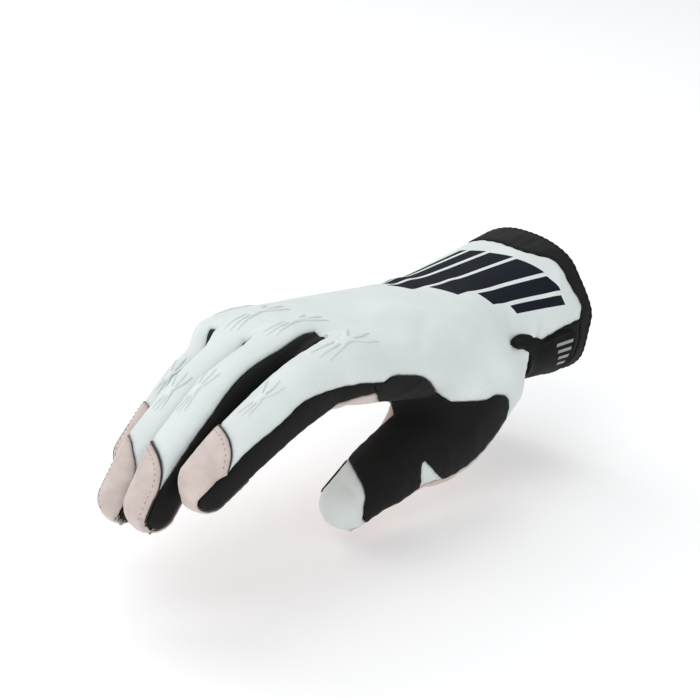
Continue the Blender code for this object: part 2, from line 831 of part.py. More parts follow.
def seen_from_palm():
    """The (to, from) pair of the palm seen from below, from the middle of the hand outwards."""
    hand = FORM.limbs["hand"]
    axis = hand.line[::-1]

    def to_plane(points):
        return points[..., :2]

    def from_plane(flat):
        height = np.interp(flat[:, 0], axis[:, 0], axis[:, 2])
        points = np.concatenate([flat, height[:, None]], 1)
        for _ in range(60):
            value, _ = FORM.surface(points)
            points[:, 2] += np.clip(value, -10, 0) * 0.6
        return points

    return to_plane, from_plane


def drawn_in(points, faces, out, gap):
    """The points with the sheet's border moved into the sheet by gap."""
    count = {}
    for face in faces:
        for a, b in zip(face, face[1:] + face[:1]):
            count[(a, b)] = count.get((a, b), 0) + 1
    edges = [(a, b) for a, b in count if (b, a) not in count]
    inward = {}
    for a, b in edges:
        way = unit(np.cross(out[a] + out[b], points[b] - points[a]))
        inward.setdefault(a, []).append(way)
        inward.setdefault(b, []).append(way)
    moved = points.copy()
    for corner, ways in inward.items():
        total = np.sum(ways, axis=0)
        size = max(float(total @ total) / len(ways), 0.35 * len(ways))
        moved[corner] = points[corner] + gap * total * len(ways) / size / len(ways)
    return moved


def material(name, colour, roughness):
    """A plain Principled material."""
    found = bpy.data.materials.new(name)
    found.use_nodes = True
    shader = found.node_tree.nodes["Principled BSDF"]
    shader.inputs["Base Color"].default_value = (*colour, 1.0)
    shader.inputs["Roughness"].default_value = roughness
    found.diffuse_color = (*colour, 1.0)
    return found


def sewn(name, parts, finish, wall=CLOTH, level=None, gap=SEAM_GAP):
    """One panel: the merged parts as a sheet with a wall, its border drawn in by half the gap."""
    points, faces = merged(*parts)
    _, out = FORM.surface(points)
    level = -wall / 2 if level is None else level
    points = drawn_in(points, faces, out, gap / 2) + level * out
    mesh = bpy.data.meshes.new(name)
    mesh.from_pydata((points * MM).tolist(), [], faces)
    mesh.update()
    panel = bpy.data.objects.new(name, mesh)
    PANELS.objects.link(panel)
    mesh.materials.append(finish)
    thicken = panel.modifiers.new("wall", "SOLIDIFY")
    thicken.thickness = wall * MM
    thicken.offset = 0.0
    return panel


# Millimetres to a degree round the rolled-out hand and thumb, and the angle where each is slit open
HAND_ROLL = 0.6
THUMB_ROLL = 0.26
HAND_SLIT = -130.0
THUMB_SLIT = -180.0
THUMB_PALM_SLIT = 90.0
RIM_SLIT = -170.0
CUFF_PALM_SLIT = 60.0

# The webs between the fingers: where to look for each, and how far behind the fingers' roots it starts
PAIR_NAMES = (("index", "middle"), ("middle", "ring"), ("ring", "little"))
WEB_STATIONS = ((24, 22), (26, 30), (22, 28))
WEB_BEHIND = 2.5

# The thumb patch: its lobe over the web, its ridge, its heel, and its border along the top of the thumb
LOBE = ((138.4, 92), (132.8, 86), (123.6, 89), (114.3, 95), (110.1, 102), (105, 113))
LOBE_FOOT = Spot("hand", 96.0, 127)
LOBE_FRONT = Spot("hand", 139.5, 107)
LOBE_LOW = Spot("hand", 131.7, 126)
RIDGE = (Spot("hand", 89.5, 134), (18.1, 28), (14.8, 38), (7.9, 58), (3.4, 65))
HEEL = Spot("thumb", 0.2, 80)
HEEL_EDGE = ((-0.4, 97), (1.0, 108))
HEEL_LOW = Spot("thumb", 3.0, 118)
WEB_MIDDLE = Spot("hand", 121, 135)
WEB_CORNER = Spot("thumb", 31, -45)
ACROSS_WEB = Spot("thumb", 26, -15)
UPPER = ((36, -30), (42, -44), (48, -56), (54, -60))
LOW_NEAR = ((12, 122), (24, 123))
LOW_FAR = Spot("thumb", 60, 122)

# The pale tip of the thumb and the wedge in the patch
TIP_CORNER = Spot("thumb", 59.9, -57)
TIP_BORDER = ((63.5, -9), (65.6, 18), (66.8, 35), (69.5, 55), (72.5, 73), (74, 95))
TIP_LOW = Spot("thumb", 73, 122)
TIP_UPPER = (Spot("thumb", 72, -58), Tip("thumb", 45, -56))
THUMB_END = (Tip("thumb", 95, -50), Tip("thumb", 112, -20), Tip("thumb", 120, 10), Tip("thumb", 128, 45))
TIP_LEAN = 0.8
TIP_LEAN_ANGLE = 35.0
GORE_NEAR = ((41.6, 69), (40.6, 84), (38.9, 105), (36.6, 122))
GORE_FAR = ((43.2, 69), (44.6, 80), (45.7, 97), (46.6, 122))
CREASE = ((-2, 150), (2, -175), (10, -140), (18, -110), (26, -80))

# The feet of the side gussets, and the seam along the little side of the hand
INDEX_UNDER = Spot("index", 11, 120)
LITTLE_FOOT = Spot("little", 0, -112)
LITTLE_UNDER = Spot("little", 12, -122)
LITTLE_SEAM = ((70, -104), (110, -100))
LITTLE_SEAM_END = Spot("little", -8, -98)

# The cuff: the collar's two edges, and the panel under the wrist
CUFF_BACK = (
    (6, -105),
    (7, -70),
    (10, -40),
    (12.6, -10),
    (14, 19),
    (8.9, 38.5),
    (10.6, 50),
    (9.9, 63),
    (7, 78),
    (8.3, 88),
)
CUFF_PALM = ((8, 110), (7, 150), (7, 180), (6, 220))
RIM_BACK = ((-2, -105), (-2, -60), (-2, -15), (-0.7, 0), (1.5, 22), (3.3, 43), (5, 57), (3.5, 74), (2, 88))
RIM_PALM = ((4, 105), (2, 130), (1, 180), (-1, 220))
NOTCH = ((20.2, 90), (32, 95))
WRIST_THUMB = ((40.5, 104), (37, 122), (36, 150))
WRIST_PALM = ((36, 180), (36, 220), (34, 255))
WRIST_LITTLE = Spot("hand", 20, -105)
WRAP = Spot("hand", 46, 143)

# A claw's outline: share of its length towards the fingertip, share of its width towards the thumb
CLAW_OUTLINE = (
    (0.50, 0.02),
    (0.12, 0.09),
    (0.46, 0.30),
    (0.12, 0.24),
    (-0.02, 0.18),
    (-0.22, 0.42),
    (-0.42, 0.52),
    (-0.25, 0.27),
    (-0.12, 0.12),
    (-0.30, 0.14),
    (-0.50, 0.06),
    (-0.30, -0.04),
    (-0.12, -0.08),
    (-0.27, -0.28),
    (-0.44, -0.54),
    (-0.21, -0.42),
    (-0.02, -0.18),
    (0.12, -0.24),
    (0.46, -0.30),
    (0.12, -0.09),
)
CLAW_WALL = 0.9
CLAW_CELL = 3.0


class Claw(NamedTuple):
    """Where a moulded claw lies on its finger, and its size. Lean turns it towards the thumb."""

    finger: str
    place: str
    at: float
    around: float
    length: float
    width: float
    lean: float


CLAWS = (
    Claw("index", "knuckle", 3.5, 0, 30.0, 13.0, 6.0),
    Claw("index", "middle", 46.0, -7, 22.0, 8.5, 0.0),
    Claw("middle", "knuckle", 1.0, 0, 27.0, 11.0, 4.0),
    Claw("middle", "middle", 48.0, -8, 22.0, 8.5, 0.0),
    Claw("ring", "knuckle", 3.0, 0, 25.0, 10.5, 0.0),
    Claw("ring", "middle", 48.0, -8, 21.0, 8.0, 0.0),
    Claw("little", "knuckle", 1.0, -24, 19.0, 9.0, 0.0),
    Claw("little", "middle", 37.0, -12, 17.0, 7.0, 0.0),
)

STRAP_WALL = 1.2
STRAP_CELL = 5.0
ABOVE_PANEL = 0.35
STRAP_OUTLINE = (
    (31.8, 94.5),
    (36.0, 90.0),
    (41.0, 84.0),
    (46.3, 80.0),
    (50.5, 79.8),
    (53.8, 82.0),
    (54.9, 86.0),
    (54.0, 90.0),
    (51.5, 92.5),
    (47.5, 93.0),
    (44.5, 95.5),
    (42.0, 100.0),
    (40.5, 107.0),
    (38.0, 122.0),
    (36.0, 150.0),
    (34.0, 185.0),
    (31.0, 202.0),
    (24.0, 208.0),
    (16.0, 205.0),
    (12.0, 195.0),
    (10.5, 150.0),
    (11.0, 120.0),
    (12.0, 102.0),
    (15.0, 94.5),
    (20.2, 92.5),
    (26.0, 93.5),
)


def claw_outline(claw):
    """A claw's outline as (station, angle) pairs on its finger."""
    shares = np.array(CLAW_OUTLINE) * (claw.length, claw.width)
    lean = np.radians(claw.lean)
    along = shares[:, 0] * np.cos(lean) - shares[:, 1] * np.sin(lean)
    across = shares[:, 0] * np.sin(lean) + shares[:, 1] * np.cos(lean)
    return np.stack([claw.at + along, claw.around + across / finger_roll(claw)], 1)


def finger_roll(claw):
    """Millimetres per degree round a claw's finger."""
    limb = FORM.limbs[claw.finger]
    sizes = limb.frame(np.array(claw.at))[4]
    return np.radians(1.0) * float(sizes[0] + sizes[1]) / 2


def on(spot):
    """The spot as a point on the form."""
    return FORM.settle(placed(spot)[None])[0]


def short(start, end):
    """A straight line of two cells."""
    return np.linspace(start, end, 3)


def seen_from_end(limb, lean, angle):
    """The (to, from) chart pair round an axis out of the limb's end that leans towards an angle around it."""
    body = FORM.limbs[limb]
    end, side, back, ahead, _ = body.frame(np.array(body.length))
    a = np.radians(angle)
    axis = unit(ahead + lean * (back * np.cos(a) + side * np.sin(a)))
    right = unit(np.cross(axis, ahead))
    up = np.cross(right, axis)

    def to_chart(points):
        away = points - end
        reach = np.linalg.norm(away, axis=-1)
        away = away / reach[..., None]
        bend = np.arccos(np.clip(away @ axis, -1, 1))
        x = away @ right
        y = away @ up
        flat = np.maximum(np.hypot(x, y), 1e-9)
        return np.stack([bend * x / flat, bend * y / flat, reach], -1)

    def from_chart(chart):
        bend = np.maximum(np.hypot(chart[..., 0], chart[..., 1]), 1e-9)
        flat = (np.sin(bend) / bend)[..., None]
        way = np.cos(bend)[..., None] * axis + flat * (chart[..., :1] * right + chart[..., 1:2] * up)
        return end + way * chart[..., 2:3]

    return to_chart, from_chart


class Lines:
    """Every seam line of the glove. Each is made once, and the panels on both sides of it share it."""

    def __init__(self):
        self.fingers = {f.name: finger_seams(f.name) for f in FINGERS}
        index, middle, ring, little = self.fingers.values()
        self.pairs = ((index, middle), (middle, ring), (ring, little))
        self.half = WEB_CELLS // 2
        self.webs_between_fingers()
        self.round_the_thumb()
        self.index_and_little_sides()
        self.round_the_wrist()

    def webs_between_fingers(self):
        """The web, tongue, valley and palm line between each two fingers."""
        half = self.half
        self.webs = []
        self.tongues = []
        self.valleys = []
        self.palm_webs = []
        for (a, b), names, at in zip(self.pairs, PAIR_NAMES, WEB_STATIONS):
            backs = (a.back_little[0], b.back_thumb[0])
            palms = (a.palm_little[0], b.palm_thumb[0])
            web = between(*names, *at, backs, palms, GUSSET_CELLS)
            self.webs.append(web)
            self.tongues.append(line(WEB_CELLS, a.back_root_little[0], b.back_root_thumb[0]))
            self.valleys.append(joined(line(half, backs[0], web[0]), line(half, web[0], backs[1])))
            self.palm_webs.append(joined(line(half, palms[0], web[-1]), line(half, web[-1], palms[1])))

    def round_the_thumb(self):
        """The borders of the thumb patch, the wedge, the pale tip and the thumb's palm side."""
        lobe_back = self.fingers["index"].back_root_thumb[0]
        lobe_front = on(LOBE_FRONT)
        lobe_low = on(LOBE_LOW)
        heel = on(HEEL)
        self.heel_low = on(HEEL_LOW)
        self.index_foot = line(GUSSET_CELLS, lobe_back, lobe_front)
        self.lobe_end = line(2, lobe_front, lobe_low)
        over_thumb = line(18, lobe_back, *spots("hand", *LOBE), LOBE_FOOT, *spots("thumb", *RIDGE), heel)
        self.lobe = over_thumb[:10]
        self.ridge = over_thumb[9:]
        self.heel_edge = line(4, heel, *spots("thumb", *HEEL_EDGE), self.heel_low)
        self.web_corner = on(WEB_CORNER)
        self.web = line(8, lobe_low, WEB_MIDDLE, self.web_corner)
        self.across_web = line(4, self.ridge[2], ACROSS_WEB, self.web_corner)
        tip_corner = on(TIP_CORNER)
        tip_low = on(TIP_LOW)
        self.upper = line(14, self.web_corner, *spots("thumb", *UPPER), tip_corner)
        self.tip_border = line(8, tip_corner, *spots("thumb", *TIP_BORDER), tip_low)
        self.gore_near = line(4, *spots("thumb", *GORE_NEAR))
        self.gore_far = line(4, *spots("thumb", *GORE_FAR))
        self.gore_apex = line(2, self.gore_near[0], self.gore_far[0])
        self.gore_base = line(2, self.gore_near[-1], self.gore_far[-1])
        self.low_near = line(6, self.heel_low, *spots("thumb", *LOW_NEAR), self.gore_near[-1])
        self.low_far = line(4, self.gore_far[-1], LOW_FAR, tip_low)
        self.thumb_end = line(8, *THUMB_END)
        self.tip_upper = line(4, tip_corner, *TIP_UPPER, self.thumb_end[0])
        self.tip_lower = line(4, tip_low, self.thumb_end[-1])

    def index_and_little_sides(self):
        """The palm borders of the two side gussets."""
        index = self.fingers["index"]
        little = self.fingers["little"]
        self.index_under = line(ROOT_CELLS, self.index_foot[-1], INDEX_UNDER, index.palm_thumb[0])
        self.little_foot = line(GUSSET_CELLS, little.back_root_little[0], LITTLE_FOOT)
        self.little_under = line(ROOT_CELLS, self.little_foot[-1], LITTLE_UNDER, little.palm_little[0])

    def round_the_wrist(self):
        """The collar's inner edge, the borders of the panel under the wrist, and the seams that meet them."""
        self.cuff_back = line(18, *spots("hand", *CUFF_BACK))
        self.cuff_palm = line(14, self.cuff_back[-1], *spots("hand", *CUFF_PALM), self.cuff_back[0])
        self.notch = line(4, self.cuff_back[-1], *spots("hand", *NOTCH))
        self.wrist_thumb = line(5, self.notch[-1], *spots("hand", *WRIST_THUMB))
        self.wrist_palm = line(9, self.wrist_thumb[-1], *spots("hand", *WRIST_PALM))
        self.wrist_little = line(4, self.cuff_back[0], WRIST_LITTLE, self.wrist_palm[-1])
        self.wrap = line(4, self.wrist_thumb[-1], WRAP, self.heel_low)
        self.crease = line(8, self.wrap[2], *spots("thumb", *CREASE), self.web_corner)
        little_side = (*spots("hand", *LITTLE_SEAM), LITTLE_SEAM_END)
        self.little_seam = line(14, self.wrist_palm[-1], *little_side, self.little_foot[0])


def interleaved(first, second):
    """Four lines and three others as one row: first, second, first and so on."""
    row = [first[0]]
    for one, other in zip(second, first[1:]):
        row += [one, other]
    return row


def back_panel(seams, finish):
    """The back of the hand with the tops of the fingers."""
    roots = joined(*interleaved([finger.root[::-1] for finger in seams.fingers.values()], seams.tongues))
    outline = joined(
        seams.cuff_back,
        seams.notch,
        seams.wrist_thumb,
        seams.wrap,
        seams.heel_edge[::-1],
        seams.ridge[::-1],
        seams.lobe[::-1],
        roots,
        seams.little_seam[::-1],
        seams.wrist_little[::-1],
    )[:-1]
    parts = [filled(outline, *unrolled("hand", HAND_SLIT, HAND_ROLL), HAND_CELL)]
    for name, finger in seams.fingers.items():
        left = joined(finger.back_root_little, finger.back_little)
        right = joined(finger.back_root_thumb, finger.back_thumb)
        parts.append(coons(finger.root, finger.cap_edge, left, right, *around(name)))
    sewn("back_panel", parts, finish)


def palm_panel(seams, finish):
    """The palm with the undersides of the fingers."""
    roots = joined(*interleaved([finger.palm_root[::-1] for finger in seams.fingers.values()], seams.palm_webs))
    outline = joined(
        seams.wrap[:3],
        seams.crease,
        seams.web[::-1],
        seams.lobe_end[::-1],
        seams.index_under,
        roots,
        seams.little_under[::-1],
        seams.little_foot[::-1],
        seams.little_seam[::-1],
        seams.wrist_palm[::-1],
    )[:-1]
    parts = [filled(outline, *seen_from_palm(), PALM_CELL)]
    for name, finger in seams.fingers.items():
        lines = (finger.palm_root, finger.palm_cap_edge, finger.palm_little, finger.palm_thumb)
        parts.append(coons(*lines, *around(name, 0.0)))
    sewn("palm_panel", parts, finish)


def tip_caps(seams, finish):
    """The four fingertip caps."""
    for name, finger in seams.fingers.items():
        left = joined(finger.cap_little, finger.tip_little, finger.under_cap_little)
        right = joined(finger.cap_thumb, finger.tip_thumb, finger.under_cap_thumb)
        grid = coons(finger.cap_edge, finger.palm_cap_edge, left, right, *round_end(name))
        sewn(name + "_tip_cap", [grid], finish)


def side_gussets(seams, finish):
    """The strips along the outer sides of the index and little fingers."""
    index = seams.fingers["index"]
    back = joined(index.back_root_thumb, index.back_thumb, index.cap_thumb)
    palm = joined(seams.index_under, index.palm_thumb, index.under_cap_thumb[::-1])
    grid = coons(seams.index_foot, index.tip_thumb, back, palm, *around("index"))
    sewn("index_side_gusset", [grid], finish)
    little = seams.fingers["little"]
    back = joined(little.back_root_little, little.back_little, little.cap_little)
    palm = joined(seams.little_under, little.palm_little, little.under_cap_little[::-1])
    grid = coons(seams.little_foot, little.tip_little, back, palm, *around("little"))
    sewn("little_side_gusset", [grid], finish)


def gussets_between(seams, finish):
    """The strips between the fingers, each in three parts: the tongue on the back and both fingers' sides."""
    half = seams.half
    rows = zip(seams.pairs, PAIR_NAMES, seams.webs, seams.valleys, seams.palm_webs, seams.tongues)
    for (a, b), names, rim, valley, under, tongue in rows:
        parts = [coons(tongue, valley, a.back_root_little, b.back_root_thumb)]
        left = joined(valley[half::-1], a.back_little, a.cap_little)
        right = joined(under[half::-1], a.palm_little, a.under_cap_little[::-1])
        parts.append(coons(rim, a.tip_little, left, right, *around(names[0])))
        left = joined(valley[half:], b.back_thumb, b.cap_thumb)
        right = joined(under[half:], b.palm_thumb, b.under_cap_thumb[::-1])
        parts.append(coons(rim, b.tip_thumb, left, right, *around(names[1])))
        sewn(names[0] + "_" + names[1] + "_gusset", parts, finish)


def thumb_patch(seams, finish):
    """The dark patch: its lobe, laid out with the hand, and the rest, laid out with the thumb."""
    lobe_outline = joined(
        seams.index_foot,
        seams.lobe_end,
        seams.web,
        seams.across_web[::-1],
        seams.ridge[2::-1],
        seams.lobe[::-1],
    )[:-1]
    outline = joined(
        seams.across_web,
        seams.upper,
        seams.tip_border,
        seams.low_far[::-1],
        seams.gore_far[::-1],
        seams.gore_apex[::-1],
        seams.gore_near,
        seams.low_near[::-1],
        seams.heel_edge[::-1],
        seams.ridge[:1:-1],
    )[:-1]
    parts = [
        filled(lobe_outline, *unrolled("hand", HAND_SLIT, HAND_ROLL), THUMB_CELL),
        filled(outline, *unrolled("thumb", THUMB_SLIT, THUMB_ROLL), THUMB_CELL),
    ]
    sewn("thumb_patch", parts, finish)


def pale_thumb_panels(seams, finish):
    """The wedge in the patch, and the thumb's tip."""
    sewn("thumb_gore", [coons(seams.gore_apex, seams.gore_base, seams.gore_near, seams.gore_far)], finish)
    lines = (seams.tip_border, seams.thumb_end, seams.tip_upper, seams.tip_lower)
    grid = coons(*lines, *seen_from_end("thumb", TIP_LEAN, TIP_LEAN_ANGLE))
    sewn("thumb_tip_panel", [grid], finish)


def thumb_palm_panel(seams, finish):
    """The suede on the thumb's palm side."""
    outline = joined(
        seams.crease,
        seams.upper,
        seams.tip_upper,
        seams.thumb_end,
        seams.tip_lower[::-1],
        seams.low_far[::-1],
        seams.gore_base[::-1],
        seams.low_near[::-1],
        seams.wrap[:1:-1],
    )[:-1]
    sewn("thumb_palm_panel", [filled(outline, *unrolled("thumb", THUMB_PALM_SLIT, THUMB_ROLL), THUMB_CELL)], finish)


def cuff(seams, binding, cloth):
    """The collar in two halves made one, and the panel under the wrist."""
    rim_back = line(18, *spots("hand", *RIM_BACK))
    rim_palm = line(14, rim_back[-1], *spots("hand", *RIM_PALM), rim_back[0])
    halves = []
    for rim, edge, slit in ((rim_back, seams.cuff_back, RIM_SLIT), (rim_palm, seams.cuff_palm, CUFF_PALM_SLIT)):
        ends = (short(rim[0], edge[0]), short(rim[-1], edge[-1]))
        halves.append(coons(rim, edge, *ends, *around("hand", slit)))
    sewn("cuff_collar", halves, binding)
    wrist = joined(seams.wrist_thumb, seams.wrist_palm)
    grid = coons(seams.cuff_palm, wrist, seams.notch, seams.wrist_little, *around("hand", CUFF_PALM_SLIT))
    sewn("cuff_under_panel", [grid], cloth)


def strap_and_claws(rubber, moulded):
    """The strap with its hooked end, and the moulded claws, each a little over the panel below it."""
    strap = cut_out("hand", STRAP_OUTLINE, HAND_ROLL, STRAP_CELL)
    sewn("closure_strap", [strap], rubber, STRAP_WALL, ABOVE_PANEL + STRAP_WALL / 2, 0.0)
    for claw in CLAWS:
        shape = cut_out(claw.finger, claw_outline(claw), finger_roll(claw), CLAW_CELL)
        name = claw.finger + "_" + claw.place + "_claw"
        sewn(name, [shape], moulded, CLAW_WALL, ABOVE_PANEL + CLAW_WALL / 2, 0.0)


def build():
    """All panels of the glove."""
    white = material("white_stretch_fabric", (0.80, 0.85, 0.84), 0.75)
    black = material("black_stretch_fabric", (0.020, 0.021, 0.021), 0.8)
    suede = material("beige_suede", (0.60, 0.52, 0.46), 0.9)
    binding = material("black_cuff_binding", (0.018, 0.019, 0.020), 0.7)
    rubber = material("black_closure_rubber", (0.02, 0.021, 0.022), 0.55)
    moulded = material("white_moulded_rubber", (0.78, 0.83, 0.82), 0.5)
    seams = Lines()
    back_panel(seams, white)
    palm_panel(seams, suede)
    tip_caps(seams, suede)
    side_gussets(seams, black)
    gussets_between(seams, black)
    thumb_patch(seams, black)
    pale_thumb_panels(seams, white)
    thumb_palm_panel(seams, suede)
    cuff(seams, binding, black)
    strap_and_claws(rubber, moulded)


if __name__ == "__main__":
    build()
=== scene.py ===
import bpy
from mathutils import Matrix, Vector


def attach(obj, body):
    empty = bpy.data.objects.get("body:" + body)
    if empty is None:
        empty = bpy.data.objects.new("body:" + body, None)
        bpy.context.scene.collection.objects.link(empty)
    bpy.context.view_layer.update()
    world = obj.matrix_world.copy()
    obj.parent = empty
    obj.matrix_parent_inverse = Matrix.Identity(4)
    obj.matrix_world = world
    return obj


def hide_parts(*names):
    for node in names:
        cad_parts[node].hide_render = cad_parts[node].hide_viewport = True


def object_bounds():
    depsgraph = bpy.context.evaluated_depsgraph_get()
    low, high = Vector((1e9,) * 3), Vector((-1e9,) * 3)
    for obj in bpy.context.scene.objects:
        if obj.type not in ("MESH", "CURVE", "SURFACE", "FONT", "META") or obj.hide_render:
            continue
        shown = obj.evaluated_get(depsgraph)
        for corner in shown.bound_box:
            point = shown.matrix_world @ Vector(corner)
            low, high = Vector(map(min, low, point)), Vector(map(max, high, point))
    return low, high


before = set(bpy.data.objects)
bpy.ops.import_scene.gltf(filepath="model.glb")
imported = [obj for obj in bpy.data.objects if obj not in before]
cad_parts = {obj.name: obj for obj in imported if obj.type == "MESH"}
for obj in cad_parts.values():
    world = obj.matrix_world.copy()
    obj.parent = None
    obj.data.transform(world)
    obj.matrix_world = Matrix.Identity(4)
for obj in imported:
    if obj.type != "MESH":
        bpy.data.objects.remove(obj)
CAD_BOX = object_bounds()

"""Looks of the motocross glove: every sewn panel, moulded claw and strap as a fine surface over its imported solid.

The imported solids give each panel's outline. A panel is read as its outer sheet, split finer with its border kept on
smooth curves, and settled on the same hand form that the solids lie on. Relief is then added as a height over the
form: edges that roll into the seams, puckers, folds, raised suede caps and the crowned mouldings.
Lengths are in millimetres until a mesh is made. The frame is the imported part's: +X out of the cuff, +Z out of the
back of the hand, the thumb at -Y.
"""

import logging
import math
from dataclasses import dataclass, field
from enum import Enum
from typing import Optional, Sequence

import bpy
import numpy as np
from mathutils import Matrix, Vector

logging.basicConfig(level=logging.INFO, format="%(name)s: %(message)s")
LOG = logging.getLogger("motocross_glove")

MM = 0.001
ROOT = "root"
Array = np.ndarray


# The hand form


@dataclass(frozen=True)
class Bend:
    """A bend of a limb's centre line: where, how many degrees towards the palm, over what length."""

    at: float
    degrees: float
    span: float


@dataclass(frozen=True)
class Finger:
    """Where a finger leaves the hand, how it bends and how thick it is."""

    name: str
    ahead: float
    outward: float
    up: float
    yaw: float
    roll: float
    length: float
    root_bend: float
    middle_bend: float
    end_bend: float
    root_width: float
    tip_width: float
    root_depth: float
    tip_depth: float
    crown: float


FINGERS = (
    Finger("index", -2, -28.9, 3.2, -8.5, -8.6, 80.3, 29.5, 8.2, 3.9, 11.0, 9.4, 10.5, 7.8, 2.8),
    Finger("middle", 2, -8.9, 3.9, -0.2, 8.7, 89.8, 29.2, 16.6, 14.6, 10.8, 8.9, 10.8, 7.9, 1.2),
    Finger("ring", -2, 13.0, 2.4, -4.5, 2.4, 88.1, 37.4, 9.1, 16.6, 10.4, 8.5, 10.2, 7.6, 0.4),
    Finger("little", -11, 30.5, -3.6, -5.0, -4.9, 66.4, 30.3, 23.3, 3.3, 9.4, 7.7, 9.2, 6.8, 0.0),
)
WRIST = 56.7
KNUCKLES = 146.1
HAND_END = 150.1
HAND_START = -40.0
THUMB_LENGTH = 73.7
HAND_ARC = 34.0
FINGER_ARC = 10.0
HAND_ROWS = (
    (-40, 35.0, 29.5, 29.5),
    (0, 34.1, 28.4, 28.4),
    (34.02, 32.8, 24.2, 24.2),
    (56.7, 32.0, 21.5, 21.5),
    (78.7, 36.0, 19.0, 19.0),
    (106.7, 41.0, 16.5, 16.5),
    (140.1, 42.0, 14.0, 14.0),
    (152.1, 40.0, 12.0, 12.0),
)
THUMB_ROWS = (
    (-6, 15.5, 14.0, 17.0),
    (10, 17.5, 15.0, 23.0),
    (22, 17.6, 14.0, 25.5),
    (35, 16.0, 12.6, 23.0),
    (43, 13.0, 12.3, 15.5),
    (60, 12.8, 10.8, 12.8),
    (58.7, 12.2, 10.0, 10.0),
    (73.7, 10.6, 8.2, 8.2),
)


def unit(vectors: Array) -> Array:
    """The vectors at length one."""
    vectors = np.asarray(vectors, float)
    return vectors / np.maximum(np.linalg.norm(vectors, axis=-1, keepdims=True), 1e-12)


def ease(x: Array) -> Array:
    """A smooth step from 0 to 1: 3x^2 - 2x^3."""
    x = np.clip(x, 0, 1)
    return x * x * (3 - 2 * x)


def turned(vector: Array, axis: Array, degrees: float) -> Array:
    """The vector turned about the axis by the right-hand rule."""
    angle = math.radians(degrees)
    axis = unit(axis)
    along = axis * (axis @ vector)
    return along + (vector - along) * math.cos(angle) + np.cross(axis, vector) * math.sin(angle)


